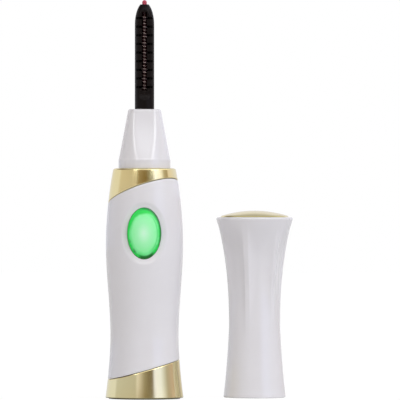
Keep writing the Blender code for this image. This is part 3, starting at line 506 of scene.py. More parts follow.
# %% [markdown]
# ## Shaping helpers
# Most pieces are turned or moulded round an axis, but their edges slant and their sides are cut flat, so one
# turned profile isn't enough. A loft of columns, one for each step round the piece, lets each column have its
# own outline. A Screw modifier could turn the plain ones, and a loft does both.


# %% Shaping helpers
def keep(name, bm, crease=35):
    """Close a bmesh into a named object, smooth but for edges sharper than the crease."""
    bmesh.ops.remove_doubles(bm, verts=bm.verts, dist=1e-7)
    bmesh.ops.dissolve_degenerate(bm, edges=bm.edges, dist=1e-8)
    bmesh.ops.recalc_face_normals(bm, faces=bm.faces)
    mesh = bpy.data.meshes.new(name)
    bm.to_mesh(mesh)
    bm.free()
    mesh.shade_smooth()
    mesh.set_sharp_from_angle(angle=math.radians(crease))
    piece = bpy.data.objects.new(name, mesh)
    scene.collection.objects.link(piece)
    return piece


def loft(name, columns, closed=True, crease=35):
    """Skin columns of points. A column is a closed loop, or runs from the axis out and back to it."""
    bm = bmesh.new()
    made = [[bm.verts.new(point) for point in column] for column in columns]
    rows = len(made[0])
    for column, following in zip(made, made[1:] + made[:1]):
        for i in range(rows if closed else rows - 1):
            j = (i + 1) % rows
            bm.faces.new((column[i], following[i], following[j], column[j]))
    return keep(name, bm, crease)


def about(radius, angle, height, axis=(0.0, 0.0)):
    """A point round an upright axis. Angle 0 faces the camera, and it grows to the right."""
    return (axis[0] + radius * math.sin(angle), axis[1] - radius * math.cos(angle), height)


def turned(name, profile, steps, axis=(0.0, 0.0), crease=35):
    """Turn (radius, height) points, or a function that gives them for an angle."""
    columns = []
    for i in range(steps):
        angle = math.tau * i / steps
        points = profile(angle) if callable(profile) else profile
        columns.append([about(radius, angle, height, axis) for radius, height in points])
    on_axis = points[0][0] == 0 and points[-1][0] == 0
    return loft(name, columns, not on_axis, crease)


def eased(corners, rings=4):
    """Profile points with each corner (radius, height, rounding) rounded off."""
    points = []
    for i, (radius, height, rounding) in enumerate(corners):
        here = Vector((radius, height))
        if rounding == 0:
            points.append((radius, height))
            continue
        before = Vector(corners[i - 1][:2]) - here
        after = Vector(corners[(i + 1) % len(corners)][:2]) - here
        first = here + before.normalized() * rounding
        last = here + after.normalized() * rounding
        for k in range(rings + 1):
            t = k / rings
            point = first * (1 - t) ** 2 + here * (2 * t * (1 - t)) + last * t**2
            points.append((point.x, point.y))
    return points


def reshape(piece, modifier):
    """Turn what a modifier makes into the piece's own mesh, and take the modifier off."""
    evaluated = piece.evaluated_get(bpy.context.evaluated_depsgraph_get())
    mesh = bpy.data.meshes.new_from_object(evaluated)
    piece.modifiers.remove(modifier)
    piece.data = mesh


def cut(piece, cutter, crease=35):
    """Take the cutter's shape out of a piece."""
    modifier = piece.modifiers.new("cut", "BOOLEAN")
    modifier.object = cutter
    modifier.solver = "EXACT"
    reshape(piece, modifier)
    bpy.data.objects.remove(cutter)
    piece.data.shade_smooth()
    piece.data.set_sharp_from_angle(angle=math.radians(crease))


def settle(piece, node):
    """Give a piece its node's finish and body, in place of the node."""
    piece.data.materials.clear()
    piece.data.materials.append(finishes[slot_of[node]])
    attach(piece, body_of[node])
    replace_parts(piece, node)
    print(f"{piece.name}: {len(piece.data.polygons)} faces, for {node} on {body_of[node]}")


print("shaping helpers are ready")

# %% [markdown]
# ## Casing
# Barrel, collar and base share one outline: a flared foot, a waist for the fingers, a belly at the button and
# a drawn-in shoulder. The two gold pieces meet the barrel along slanted planes, so each column of the loft
# finds where its seam crosses the outline. The seams are hairlines with slightly rounded edges.

# %% Casing outline
WAIST_RADIUS = 0.01083
WAIST_HEIGHT = 0.0200
FOOT_FLARE = 0.0016
BELLY_RADIUS = 0.01227
BELLY_HEIGHT = 0.0485
SHOULDER_RADIUS = 0.0099
SHOULDER_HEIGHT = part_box("shoulder_collar")[1].z
BORE_RADIUS = 0.0090
BORE_TOP = 0.0619
NECK_RADIUS = 0.0092
NECK_BORE = 0.0076
COLLAR_ROOF = 0.0010
FIT = 0.0003
FLANGE_TOP = SHOULDER_HEIGHT - COLLAR_ROOF - FIT
FLANGE_FOOT = FLANGE_TOP - 0.0008
NECK_TOP = FLANGE_FOOT - FIT
# A seam is its height on the axis, its tilt up to the right and its lean up to the front
COLLAR_SEAM = (0.06587, math.radians(17.9), math.radians(13.5))
BASE_SEAM = (0.00933, math.radians(15.4), math.radians(-2.2))
SEAM_GAP = 0.0002
SEAM_EDGE = 0.00014
CASING_STEPS = 240
CASING_ROWS = 150


def casing_radius(height):
    if height < WAIST_HEIGHT:
        return WAIST_RADIUS + FOOT_FLARE * (1 - height / WAIST_HEIGHT) ** 1.7
    if height < BELLY_HEIGHT:
        t = (height - WAIST_HEIGHT) / (BELLY_HEIGHT - WAIST_HEIGHT)
        return WAIST_RADIUS + (BELLY_RADIUS - WAIST_RADIUS) * t * t * (3 - 2 * t)
    t = (height - BELLY_HEIGHT) / (SHOULDER_HEIGHT - BELLY_HEIGHT)
    return BELLY_RADIUS + (SHOULDER_RADIUS - BELLY_RADIUS) * t * t


def seam_height(seam, radius, angle):
    middle, tilt, lean = seam
    return middle + radius * (math.tan(tilt) * math.sin(angle) + math.tan(lean) * math.cos(angle))


def seam_on_casing(seam, angle):
    height = seam[0]
    for _ in range(8):
        height = seam_height(seam, casing_radius(height), angle)
    return height


def casing_side(low, high, rows):
    """Points up the casing, with the first and last edge rounded by the seam's edge."""
    soft = [(0.0, 1.0), (0.3, 0.3), (1.0, 0.0)]
    steps = [(low + SEAM_EDGE * rise, SEAM_EDGE * inset) for rise, inset in soft]
    run = high - low - 2 * SEAM_EDGE
    steps += [(low + SEAM_EDGE + run * i / rows, 0.0) for i in range(1, rows)]
    steps += [(high - SEAM_EDGE * rise, SEAM_EDGE * inset) for rise, inset in reversed(soft)]
    return [(casing_radius(height) - inset, height) for height, inset in steps]


print(f"casing: {BELLY_RADIUS * 2000:.1f} mm across the belly, shoulder at {SHOULDER_HEIGHT * 1000:.1f} mm")

# %% [markdown]
# ### Barrel
# The barrel is one moulding with a narrow neck inside the collar. A shallow dish runs round the button, so
# the thumb finds it, and the oval button hole is cut through the wall. The dish is a change of radius in the
# loft, and the hole is a Boolean with a fine oval prism, which keeps its edge clean.

# %% Barrel
DISH_MARGIN = 0.0018
DISH_DEPTH = 0.0006
HOLE_GAP = 0.00014
OVAL_STEPS = 160


def dish_depth(angle, height):
    if math.cos(angle) <= 0:
        return 0.0
    side = casing_radius(height) * math.sin(angle)
    across = side / (BUTTON_HALF_WIDTH + DISH_MARGIN)
    along = (height - BUTTON_HEIGHT) / (BUTTON_HALF_HEIGHT + DISH_MARGIN)
    edge = 1 - DISH_MARGIN / (BUTTON_HALF_WIDTH + DISH_MARGIN)
    t = min(1.0, max(0.0, (1 - math.hypot(across, along)) / (1 - edge)))
    return DISH_DEPTH * t * (2 - t)


def barrel_loop(angle):
    low = seam_on_casing(BASE_SEAM, angle) + SEAM_GAP
    high = seam_on_casing(COLLAR_SEAM, angle) - SEAM_GAP
    plain = casing_side(low, high, CASING_ROWS)
    side = [(radius - dish_depth(angle, height), height) for radius, height in plain]
    neck_foot = seam_height(COLLAR_SEAM, NECK_RADIUS, angle) - SEAM_GAP
    neck = [(NECK_RADIUS, neck_foot), (NECK_RADIUS, NECK_TOP), (NECK_BORE, NECK_TOP), (NECK_BORE, BORE_TOP)]
    bore = [(BORE_RADIUS, BORE_TOP), (BORE_RADIUS, seam_height(BASE_SEAM, BORE_RADIUS, angle) + SEAM_GAP)]
    return side + neck + bore


def oval_prism(name, half_width, half_height, front, back):
    """An upright oval drawn out from front to back along the button's axis."""
    columns = []
    for i in range(OVAL_STEPS):
        angle = math.tau * i / OVAL_STEPS
        x, z = half_width * math.sin(angle), BUTTON_HEIGHT + half_height * math.cos(angle)
        ends = [(0.0, -front, BUTTON_HEIGHT), (x, -front, z), (x, -back, z), (0.0, -back, BUTTON_HEIGHT)]
        columns.append(ends)
    return loft(name, columns, closed=False)


barrel = turned("barrel", barrel_loop, CASING_STEPS)
hole = oval_prism("hole", BUTTON_HALF_WIDTH + HOLE_GAP, BUTTON_HALF_HEIGHT + HOLE_GAP, 0.02, 0.0066)
cut(barrel, hole)
settle(barrel, "barrel_shell")

# %% [markdown]
# ### Collar and base
# Both are spun and polished gold sleeves. The collar's top edge is generously rounded, and the base has a
# small turned edge where it meets the table.

# %% Collar and base
COLLAR_ROUND = (0.0014, 0.0007)
COLLAR_BORE = 0.0095
CONE_HOLE = 0.00855
BASE_FLOOR = 0.0015
FOOT_EDGE = 0.0005


def collar_loop(angle):
    low = seam_on_casing(COLLAR_SEAM, angle)
    inward, upward = COLLAR_ROUND
    high = SHOULDER_HEIGHT - upward
    side = casing_side(low, high + SEAM_EDGE, 40)[:-3] + [(casing_radius(high), high)]
    roof = SHOULDER_HEIGHT - COLLAR_ROOF
    top = []
    for k in range(1, 13):
        a = math.pi / 2 * k / 12
        top.append((casing_radius(high) - inward * (1 - math.cos(a)), high + upward * math.sin(a)))
    hole = [(CONE_HOLE, SHOULDER_HEIGHT), (CONE_HOLE, roof), (COLLAR_BORE, roof)]
    return side + top + hole + [(COLLAR_BORE, seam_height(COLLAR_SEAM, COLLAR_BORE, angle))]


def base_loop(angle):
    high = seam_on_casing(BASE_SEAM, angle)
    foot = casing_radius(FOOT_EDGE)
    under = [(0.0, 0.0), (foot - FOOT_EDGE * 2, 0.0), (foot - FOOT_EDGE * 2, FOOT_EDGE * 0.5)]
    under += [(foot - FOOT_EDGE * 0.25, FOOT_EDGE * 0.6), (foot - FOOT_EDGE * 0.06, FOOT_EDGE * 0.75)]
    side = casing_side(FOOT_EDGE - SEAM_EDGE, high, 60)[2:]
    inside = [(BORE_RADIUS, seam_height(BASE_SEAM, BORE_RADIUS, angle)), (BORE_RADIUS, BASE_FLOOR)]
    return under + side + inside + [(0.0, BASE_FLOOR)]


settle(turned("collar", collar_loop, CASING_STEPS), "shoulder_collar")
settle(turned("base", base_loop, CASING_STEPS), "base_cup")

# %% [markdown]
# ### Button
# A soft oval dome stands a little proud of the barrel. Behind it are a skirt, a post for the switch and two
# ears that keep it from falling out, as in the CAD model. It is a loft with oval rings.

# %% Button
DOME_RIM = 0.01141
DOME_RISE = 0.0016
DOME_EDGE = 0.0004
SKIRT_BACK = 0.00825
SKIRT_WALL = 0.0009
CEILING = 0.01181
POST_RADIUS = 0.0012
POST_TIP = 0.0094
EAR_LOW = (-0.0015, -0.00855)
EAR_HIGH = (0.0015, -0.00795)
EAR_LENGTH = 0.0009


def button_rings():
    """Each ring's share of the half width and its depth from the wand's axis, from the middle round."""
    rings = [(i / 40, DOME_RIM + DOME_RISE * (1 - (i / 40) ** 2.6)) for i in range(38)]
    last = rings[-1]
    for k in range(1, 6):
        a = math.pi / 2 * k / 5
        out = last[0] + (1 - last[0]) * math.sin(a)
        drop = DOME_EDGE * (1 - math.cos(a)) + (last[1] - DOME_RIM) * 0.4 * math.sin(a)
        rings.append((out, last[1] - drop))
    inner = 1 - SKIRT_WALL / BUTTON_HALF_WIDTH
    post = POST_RADIUS / BUTTON_HALF_WIDTH
    rings += [(1.0, SKIRT_BACK), (inner, SKIRT_BACK), (inner, DOME_RIM - 0.0006), (inner * 0.75, CEILING)]
    return rings + [(post, CEILING), (post, POST_TIP), (0.0, POST_TIP)]


columns = []
for i in range(OVAL_STEPS):
    angle = math.tau * i / OVAL_STEPS
    x, z = BUTTON_HALF_WIDTH * math.sin(angle), BUTTON_HALF_HEIGHT * math.cos(angle)
    columns.append([(x * share, -depth, BUTTON_HEIGHT + z * share) for share, depth in button_rings()])
button = loft("button", columns, closed=False, crease=50)
bm = bmesh.new()
bm.from_mesh(button.data)
for end in (-1, 1):
    ear = bmesh.ops.create_cube(bm, size=1.0)["verts"]
    tip, root = BUTTON_HALF_HEIGHT + EAR_LENGTH, BUTTON_HALF_HEIGHT - SKIRT_WALL / 2
    for vertex in ear:
        vertex.co.x = EAR_HIGH[0] if vertex.co.x > 0 else EAR_LOW[0]
        vertex.co.y = EAR_HIGH[1] if vertex.co.y > 0 else EAR_LOW[1]
        vertex.co.z = BUTTON_HEIGHT + end * (tip if vertex.co.z * end > 0 else root)
bm.to_mesh(button.data)
bm.free()
settle(button, "power_button")

# %% [markdown]
# ## Nose cone
# A straight cone on a low band, with a shallow scooped panel on the front and the back that narrows towards
# the band. A Boolean would leave ragged edges, so each row of the loft works out where the panel meets the
# cone and puts its points there, with a small blend that catches the light.

# %% Panelled loft
SIDE_STEPS = 30
PANEL_STEPS = 16


def blended_least(a, b, blend):
    """The smaller of two values, with a soft change from one to the other."""
    mix = max(0.0, blend - abs(a - b)) / blend
    return min(a, b) - mix * mix * blend / 4


def quarter_angles(edge):
    """Angles from the middle of a panel to the side, drawn together at the panel's edge."""
    panel = [edge * (1 - (1 - i / PANEL_STEPS) ** 1.7) for i in range(PANEL_STEPS)]
    side = [edge + (math.pi / 2 - edge) * (i / SIDE_STEPS) ** 1.7 for i in range(SIDE_STEPS)]
    return panel + side


def round_angles(edge):
    quarter = quarter_angles(edge)
    half = quarter + [math.pi / 2] + [math.pi - a for a in reversed(quarter[1:])]
    return half + [a + math.pi for a in half]


def panelled_ring(round_radius, panel_depth, height, blend):
    """Points round a row: a circle, cut off in front and behind by panels at the given depth."""
    edge = math.acos(min(1.0, panel_depth / round_radius))
    points = []
    for angle in round_angles(edge):
        flat = panel_depth / max(1e-6, abs(math.cos(angle)))
        points.append(about(blended_least(round_radius, flat, blend), angle, height))
    return points


def columns_of(rings):
    return [list(column) for column in zip(*rings)]


print(f"panelled loft: {len(round_angles(0.5))} points round")

# %% Nose cone
CONE_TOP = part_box("nose_cone")[1].z
CONE_SEAT = 0.00825
CONE_BAND_TOP = SHOULDER_HEIGHT + 0.0025
CONE_STEP = 0.00014
CONE_EASE = 0.0005
CONE_TIP_RADIUS = 0.00523
CONE_TIP_ROUND = 0.0005
PANEL_TOP_DEPTH = 0.00395
PANEL_SLOPE = 0.189
PANEL_CURVE = 4.94
PANEL_BLEND = 0.0006
STEM_HOLE = 0.00338
SOCKET_RADIUS = 0.0043
SOCKET_TOP = CONE_TOP - 0.0062
SOCKET_FOOT = SOCKET_TOP - 0.0066
SKIRT_RADIUS = 0.0069


def cone_row(height):
    """Round radius and panel depth of the cone at a height."""
    if height <= CONE_BAND_TOP:
        return CONE_SEAT, CONE_SEAT * 2
    taper_foot = CONE_BAND_TOP + CONE_EASE
    t = (height - taper_foot) / (CONE_TOP - CONE_TIP_ROUND - taper_foot)
    radius = CONE_SEAT - CONE_STEP + (CONE_TIP_RADIUS - CONE_SEAT + CONE_STEP) * t
    drop = CONE_TOP - height
    depth = PANEL_TOP_DEPTH + PANEL_SLOPE * drop + PANEL_CURVE * drop * drop
    over = height - (CONE_TOP - CONE_TIP_ROUND)
    if over > 0:
        inset = CONE_TIP_ROUND - math.sqrt(max(0.0, CONE_TIP_ROUND**2 - over**2))
        radius, depth = radius - inset, depth - inset
    return radius, depth


band = [FLANGE_TOP, SHOULDER_HEIGHT, CONE_BAND_TOP - 0.0003, CONE_BAND_TOP - 0.0001, CONE_BAND_TOP]
taper_foot, taper_top = CONE_BAND_TOP + CONE_EASE, CONE_TOP - CONE_TIP_ROUND
taper_rows = [taper_foot + (taper_top - taper_foot) * i / 70 for i in range(71)]
tip_rows = [CONE_TOP - CONE_TIP_ROUND * (1 - math.sin(math.pi / 2 * i / 8)) for i in range(1, 9)]
rings = [panelled_ring(*cone_row(height), height, PANEL_BLEND) for height in band + taper_rows + tip_rows]
inside = [
    (STEM_HOLE, CONE_TOP),
    (STEM_HOLE, SOCKET_TOP),
    (SOCKET_RADIUS, SOCKET_TOP),
    (SOCKET_RADIUS, SOCKET_FOOT),
    (SKIRT_RADIUS, SHOULDER_HEIGHT),
    (SKIRT_RADIUS, FLANGE_FOOT),
    (NECK_RADIUS, FLANGE_FOOT),
    (NECK_RADIUS, FLANGE_TOP),
]
rings += [[about(radius, angle, height) for angle in round_angles(0.6)] for radius, height in inside]
settle(loft("cone", columns_of(rings)), "nose_cone")

# %% [markdown]
# ## Heated comb
# The comb is a round black stem with a bullet nose, cut flat in front and behind, with a channel down its
# middle for the coil and nine slots across its front. The stem is a panelled loft, and the slots repeat, so
# Geometry Nodes set one bar at each pitch along a line and cut them all out of the stem at once.

# %% Comb body
comb_low, comb_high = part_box("heater_comb")
COMB_FOOT = comb_low.z
COMB_TOP = comb_high.z
STEM_RADIUS = 0.00308
COMB_FLANGE_RADIUS = 0.0040
COMB_FLANGE_TOP = COMB_FOOT + 0.0022
COMB_TIP_RADIUS = 0.00135
COMB_NOSE = 0.0065
COMB_FLAT = 0.0023
COMB_FLAT_START = CONE_TOP + 0.0014
COMB_RUNOUT = 0.0040
COMB_BLEND = 0.0002
CORE_BORE = 0.00104
HEATER_BORE = 0.00174
HEATER_BORE_TOP = 0.1231


def comb_row(height):
    rise = max(0.0, (height - COMB_TOP + COMB_NOSE) / COMB_NOSE)
    radius = STEM_RADIUS * math.sqrt(1 - (1 - (COMB_TIP_RADIUS / STEM_RADIUS) ** 2) * rise * rise)
    below = COMB_FLAT_START + COMB_RUNOUT - height
    if below <= 0:
        return radius, COMB_FLAT
    if below >= COMB_RUNOUT:
        return radius, STEM_RADIUS * 2
    return radius, COMB_FLAT + COMB_RUNOUT - math.sqrt(COMB_RUNOUT**2 - below**2)


heights = [COMB_FLANGE_TOP, CONE_TOP] + [CONE_TOP + (COMB_TOP - CONE_TOP) * i / 130 for i in range(1, 131)]
rings = [panelled_ring(*comb_row(height), height, COMB_BLEND) for height in heights]
inside = [
    (CORE_BORE, COMB_TOP),
    (CORE_BORE, HEATER_BORE_TOP),
    (HEATER_BORE, HEATER_BORE_TOP),
    (HEATER_BORE, COMB_FOOT),
    (COMB_FLANGE_RADIUS, COMB_FOOT),
    (COMB_FLANGE_RADIUS, COMB_FLANGE_TOP),
]
rings += [[about(radius, angle, height) for angle in round_angles(0.6)] for radius, height in inside]
comb = loft("comb", columns_of(rings))
print(f"comb body: {len(comb.data.polygons)} faces before its slots")

# %% Geometry Nodes helpers
SOCKETS = {float: "NodeSocketFloat", int: "NodeSocketInt", Vector: "NodeSocketVector"}


def new_tree(name, sizes):
    """A Geometry Nodes tree with named inputs. Returns it with a Term for each input."""
    tree = bpy.data.node_groups.new(name, "GeometryNodeTree")
    tree.interface.new_socket("Geometry", in_out="INPUT", socket_type="NodeSocketGeometry")
    for label, value in sizes.items():
        tree.interface.new_socket(label, in_out="INPUT", socket_type=SOCKETS[type(value)])
    tree.interface.new_socket("Geometry", in_out="OUTPUT", socket_type="NodeSocketGeometry")
    given = tree.nodes.new("NodeGroupInput")
    return tree, {socket.name: Term(tree, socket) for socket in given.outputs if socket.name}


def end_tree(tree, shape, material):
    """Every tree ends in plain geometry with its material set."""
    start = Term(tree)
    real = start.node("GeometryNodeRealizeInstances", {}, {"Geometry": shape})
    done = start.node("GeometryNodeSetMaterial", {}, {"Geometry": real, "Material": material})
    tree.links.new(done.socket, tree.nodes.new("NodeGroupOutput").inputs["Geometry"])


def run_tree(piece, tree, sizes, crease=35):
    """Run a tree on a piece with the sizes given, and keep the result as its mesh."""
    modifier = piece.modifiers.new(tree.name, "NODES")
    modifier.node_group = tree
    for item in tree.interface.items_tree:
        if item.in_out == "INPUT" and item.name in sizes:
            modifier[item.identifier] = sizes[item.name]
    reshape(piece, modifier)
    piece.data.shade_smooth()
    piece.data.set_sharp_from_angle(angle=math.radians(crease))


def empty_piece(name):
    piece = bpy.data.objects.new(name, bpy.data.meshes.new(name))
    scene.collection.objects.link(piece)
    return piece


print("Geometry Nodes helpers are ready")

# %% Comb slots
SLOT_SIZES = {
    "Slots": 9,
    "First slot": CONE_TOP + 0.0070,
    "Pitch": 0.00274,
    "Slot height": 0.00075,
    "Slot half width": 0.0026,
    "Web": 0.0005,
    "Reach": 0.0040,
    "Channel half width": 0.00085,
    "Channel foot": CONE_TOP + 0.0059,
    "Channel top": HEATER_BORE_TOP - 0.0003,
}


def slot_tree(sizes, material):
    tree, given = new_tree("comb_slots", sizes)
    start = Term(tree)
    deep = given["Reach"] - given["Web"]
    middle = (given["Reach"] + given["Web"]) / 2
    size = {"X": given["Slot half width"] * 2, "Y": deep, "Z": given["Slot height"]}
    bar = start.node("GeometryNodeMeshCube", {}, {"Size": start.node("ShaderNodeCombineXYZ", {}, size)})
    step = start.node("ShaderNodeCombineXYZ", {}, {"Z": given["Pitch"]})
    first = start.node("ShaderNodeCombineXYZ", {}, {"Y": 0.0 - middle, "Z": given["First slot"]})
    row = {"Count": given["Slots"], "Start Location": first, "Offset": step}
    line = start.node("GeometryNodeMeshLine", {}, row)
    slots = start.node("GeometryNodeInstanceOnPoints", {}, {"Points": line, "Instance": bar})
    slots = start.node("GeometryNodeRealizeInstances", {}, {"Geometry": slots})
    tall = given["Channel top"] - given["Channel foot"]
    size = {"X": given["Channel half width"] * 2, "Y": given["Reach"], "Z": tall}
    channel = start.node("GeometryNodeMeshCube", {}, {"Size": start.node("ShaderNodeCombineXYZ", {}, size)})
    spot = {"Y": given["Reach"] * -0.5, "Z": given["Channel foot"] + tall / 2}
    centre = start.node("ShaderNodeCombineXYZ", {}, spot)
    channel = start.node("GeometryNodeTransform", {}, {"Geometry": channel, "Translation": centre})
    exact = {"operation": "DIFFERENCE", "solver": "EXACT"}
    body = start.node("GeometryNodeMeshBoolean", exact, {0: given["Geometry"], 1: channel})
    body = start.node("GeometryNodeMeshBoolean", exact, {0: body, 1: slots})
    end_tree(tree, body, material)
    return tree


run_tree(comb, slot_tree(SLOT_SIZES, finishes["black_plastic"]), SLOT_SIZES)
settle(comb, "heater_comb")

# %% [markdown]
# ## Core, coil and spring
# The core is a red rod whose round end stands out of the comb as a bead. The coil round it and the spring
# under the cell are wound wires. A curve with a bevel could do it, and Geometry Nodes do it from the numbers
# that a winder would set: turns, radii, height and wire.

# %% Core
core_low, core_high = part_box("heater_core")
CORE_RADIUS = (core_high.x - core_low.x) / 2
end = [(0.0, core_high.z)]
for k in range(1, 13):
    a = math.pi / 2 * k / 12
    end.append((CORE_RADIUS * math.sin(a), core_high.z - CORE_RADIUS * (1 - math.cos(a))))
settle(turned("core", end + [(CORE_RADIUS, core_low.z), (0.0, core_low.z)], 48), "heater_core")


# %% Wound wires
def wound_tree(name, sizes, material):
    tree, given = new_tree(name, sizes)
    start = Term(tree)
    spiral = {
        "Resolution": given["Points a turn"],
        "Rotations": given["Turns"],
        "Start Radius": given["Foot radius"],
        "End Radius": given["Head radius"],
        "Height": given["Height"],
    }
    wire = start.node("GeometryNodeCurveSpiral", {}, spiral)
    wire = start.node("GeometryNodeTransform", {}, {"Geometry": wire, "Translation": given["Foot"]})
    ends = {"Start": given["Tail foot"], "End": given["Tail top"]}
    tail = start.node("GeometryNodeCurvePrimitiveLine", {}, ends)
    both = start.node("GeometryNodeJoinGeometry", {}, {"Geometry": [wire, tail]})
    section = {"Resolution": 10, "Radius": given["Wire radius"]}
    ring = start.node("GeometryNodeCurvePrimitiveCircle", {}, section)
    tube = {"Curve": both, "Profile Curve": ring, "Fill Caps": True}
    end_tree(tree, start.node("GeometryNodeCurveToMesh", {}, tube), material)
    return tree


COIL_RADIUS = 0.00124
COIL_WIRE = 0.0002
COIL_FOOT = 0.0983
COIL_TOP = 0.1220
COIL_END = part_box("heater_coil")[0].z
coil_sizes = {
    "Turns": 23.0,
    "Points a turn": 20,
    "Foot radius": COIL_RADIUS,
    "Head radius": COIL_RADIUS,
    "Height": COIL_TOP - COIL_FOOT,
    "Wire radius": COIL_WIRE,
    "Foot": Vector((0.0, 0.0, COIL_FOOT)),
    "Tail foot": Vector((COIL_RADIUS, 0.0, COIL_END)),
    "Tail top": Vector((COIL_RADIUS, 0.0, COIL_FOOT)),
}
coil = empty_piece("coil")
run_tree(coil, wound_tree("wound_coil", coil_sizes, finishes["heater_wire"]), coil_sizes)
settle(coil, "heater_coil")

spring_low, spring_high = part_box("negative_spring")
SPRING_WIRE = 0.0003
CELL_BACK = (cell_low.y + cell_high.y) / 2
spring_sizes = {
    "Turns": 4.0,
    "Points a turn": 28,
    "Foot radius": 0.0042,
    "Head radius": 0.0026,
    "Height": spring_high.z - spring_low.z - 2 * SPRING_WIRE,
    "Wire radius": SPRING_WIRE,
    "Foot": Vector((0.0, CELL_BACK, spring_low.z + SPRING_WIRE)),
    "Tail foot": Vector((0.0042, CELL_BACK, spring_low.z + SPRING_WIRE)),
    "Tail top": Vector((0.0042, CELL_BACK + 0.0012, spring_low.z + SPRING_WIRE)),
}
spring = empty_piece("spring")
run_tree(spring, wound_tree("wound_spring", spring_sizes, finishes["spring_steel"]), spring_sizes)
settle(spring, "negative_spring")

# %% [markdown]
# ## Cap
# The cap is a vase: a flared foot, a waist and a wide rim. Six scooped flutes start above the waist, deepen
# upwards and run out in a long cove under the lip. The plain vase is a loft, and the flutes follow a rule of
# angle and height, so Geometry Nodes push the outside in by that rule.

# %% Cap body
cap_low, cap_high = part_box("cap_shell")
CAP_AXIS = ((cap_low.x + cap_high.x) / 2, (cap_low.y + cap_high.y) / 2)
CAP_RIM_TOP = cap_high.z
CAP_LIP = 0.0570
CAP_BASE_RADIUS = 0.00995
CAP_WAIST_RADIUS = 0.00827
CAP_WAIST_HEIGHT = 0.0220
CAP_RIM_SWELL = 0.00395
CAP_MOUTH = 0.00855
CAP_MOUTH_DEPTH = 0.0035
CAP_BORE = 0.00703
CROWN_SEAT = 0.01132
CROWN_BORE = 0.00922
SEAT_FLOOR = 0.0567
CAP_STEPS = 288


def cap_radius(height):
    if height < CAP_WAIST_HEIGHT:
        flare = CAP_BASE_RADIUS - CAP_WAIST_RADIUS
        return CAP_WAIST_RADIUS + flare * (1 - height / CAP_WAIST_HEIGHT) ** 1.5
    t = (height - CAP_WAIST_HEIGHT) / (CAP_LIP - CAP_WAIST_HEIGHT)
    return CAP_WAIST_RADIUS + CAP_RIM_SWELL * t**2.4


outside = [(cap_radius(0.0) - 0.0004, 0.0), (cap_radius(0.0) - 0.0001, 0.0001), (cap_radius(0.0004), 0.0004)]
outside += [(cap_radius(CAP_LIP * i / 150), CAP_LIP * i / 150) for i in range(2, 151)]
rim = cap_radius(CAP_LIP)
for k in range(1, 9):
    a = math.pi / 2 * k / 8
    outside.append((rim - 0.0006 * (1 - math.cos(a)), CAP_LIP + (CAP_RIM_TOP - CAP_LIP) * math.sin(a)))
inside = [(CROWN_SEAT, CAP_RIM_TOP), (CROWN_SEAT, SEAT_FLOOR), (CROWN_BORE, SEAT_FLOOR), (CROWN_BORE, 0.0535)]
inside += [(0.0082, 0.0500), (0.0072, 0.0400), (0.0070, 0.0310), (CAP_BORE, CAP_WAIST_HEIGHT)]
inside += [(CAP_MOUTH, CAP_MOUTH_DEPTH), (CAP_MOUTH, 0.0)]
cap = turned("cap", outside + inside, CAP_STEPS, CAP_AXIS)
print(f"cap body: {len(cap.data.polygons)} faces, {CAP_RIM_TOP * 1000:.1f} mm tall")

# %% Cap flutes
FLUTE_SIZES = {
    "Flutes": 6.0,
    "Depth": 0.0013,
    "Start": 0.0170,
    "Full": 0.0450,
    "Lip": 0.0568,
    "Turn": math.radians(13.0),
    "Land": 0.84,
    "Steepness": 3.4,
    "Axis": Vector((*CAP_AXIS, 0.0)),
}


def flute_tree(sizes, material):
    tree, given = new_tree("cap_flutes", sizes)
    start = Term(tree)
    spot = start.node("GeometryNodeInputPosition", {}, {})
    minus = {"operation": "SUBTRACT"}
    x, y, z = start.node("ShaderNodeVectorMath", minus, {0: spot, 1: given["Axis"]}).split()
    radius = (x * x + y * y) ** 0.5
    pitch = math.tau / given["Flutes"]
    angle = start.math("ARCTAN2", x, 0.0 - y) - given["Turn"]
    across = start.math("PINGPONG", angle + pitch * 20, pitch / 2) / (pitch / 2) / given["Land"]
    scoop = start.math("MAXIMUM", 1 - across ** given["Steepness"], 0.0)
    deep = z.between(given["Start"], given["Full"]) * (1 - z.between(given["Full"], given["Lip"]))
    outer = start.node("GeometryNodeInputNamedAttribute", {"data_type": "FLOAT"}, {"Name": "outside"})
    inward = (scoop * deep * outer * given["Depth"]) / radius
    push = {"X": 0.0 - x * inward, "Y": 0.0 - y * inward}
    moved = {"Geometry": given["Geometry"], "Offset": start.node("ShaderNodeCombineXYZ", {}, push)}
    end_tree(tree, start.node("GeometryNodeSetPosition", {}, moved), material)
    return tree


marks = cap.data.attributes.new("outside", "FLOAT", "POINT")
for vertex, mark in zip(cap.data.vertices, marks.data):
    out = math.hypot(vertex.co.x - CAP_AXIS[0], vertex.co.y - CAP_AXIS[1])
    mark.value = 1.0 if out > cap_radius(min(vertex.co.z, CAP_LIP)) - 0.0002 else 0.0
run_tree(cap, flute_tree(FLUTE_SIZES, finishes["white_plastic"]), FLUTE_SIZES)
settle(cap, "cap_shell")

# %% [markdown]
# ### Crown
# A low gold dome with a bevelled edge is pressed into the top of the cap, a little inside its lip.

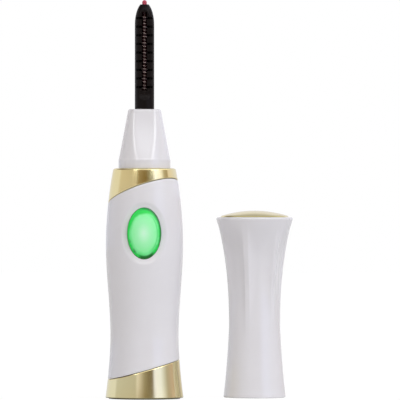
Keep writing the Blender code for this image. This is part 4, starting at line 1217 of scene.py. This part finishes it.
# %% Crown
crown_low, crown_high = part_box("cap_crown")
CROWN_RADIUS = (crown_high.x - crown_low.x) / 2
CROWN_EDGE_TOP = 0.0581
CROWN_EDGE_FOOT = 0.0570
CROWN_BEVEL = 0.0005
CROWN_SKIRT = 0.00892
CROWN_SKIRT_WALL = 0.0010
dome = []
for i in range(41):
    share = i / 40
    rise = (crown_high.z - CROWN_EDGE_TOP) * (1 - share**2)
    dome.append(((CROWN_RADIUS - CROWN_BEVEL) * share, CROWN_EDGE_TOP + rise))
dome.append((CROWN_RADIUS, CROWN_EDGE_TOP - CROWN_BEVEL))
under = [(CROWN_RADIUS, CROWN_EDGE_FOOT), (CROWN_SKIRT, CROWN_EDGE_FOOT), (CROWN_SKIRT, crown_low.z)]
inner = CROWN_SKIRT - CROWN_SKIRT_WALL
under += [(inner, crown_low.z), (inner, CROWN_EDGE_FOOT), (0.0, CROWN_EDGE_FOOT)]
settle(turned("crown", dome + under, 160, CAP_AXIS), "cap_crown")

# %% [markdown]
# ## Cell and inner pieces
# The cell is turned again with a crimped edge and a raised contact. The other inner pieces have the right
# shape in the CAD model. Its meshes are loose triangles, so a copy is merged, which lets round sides shade
# smoothly.

# %% Cell
CELL_RADIUS = (cell_high.x - cell_low.x) / 2
NUB_RADIUS = 0.0019
NUB_HEIGHT = 0.0010
CELL_ROUND = 0.0004
shoulder = cell_high.z - NUB_HEIGHT
corners = [
    (0.0, cell_low.z, 0.0),
    (CELL_RADIUS, cell_low.z, CELL_ROUND),
    (CELL_RADIUS, shoulder, CELL_ROUND),
    (CELL_RADIUS - 0.0011, shoulder, 0.0),
    (CELL_RADIUS - 0.0013, shoulder - 0.0003, 0.0),
    (NUB_RADIUS + 0.0002, shoulder - 0.0003, 0.0001),
    (NUB_RADIUS, cell_high.z, 0.0003),
    (0.0, cell_high.z, 0.0),
]
settle(turned("cell", eased(corners), 96, (0.0, CELL_BACK)), "battery_cell")

# %% Inner pieces
made = {piece["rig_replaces"][0] for piece in scene.objects if "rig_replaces" in piece}
for node in sorted(set(frame["nodes"]) - made):
    bm = bmesh.new()
    bm.from_mesh(frame["nodes"][node].data)
    bmesh.ops.remove_doubles(bm, verts=bm.verts, dist=1e-6)
    mesh = bpy.data.meshes.new(node + "_inner")
    bm.to_mesh(mesh)
    bm.free()
    mesh.shade_smooth()
    mesh.set_sharp_from_angle(angle=math.radians(32))
    piece = bpy.data.objects.new(node + "_inner", mesh)
    scene.collection.objects.link(piece)
    settle(piece, node)
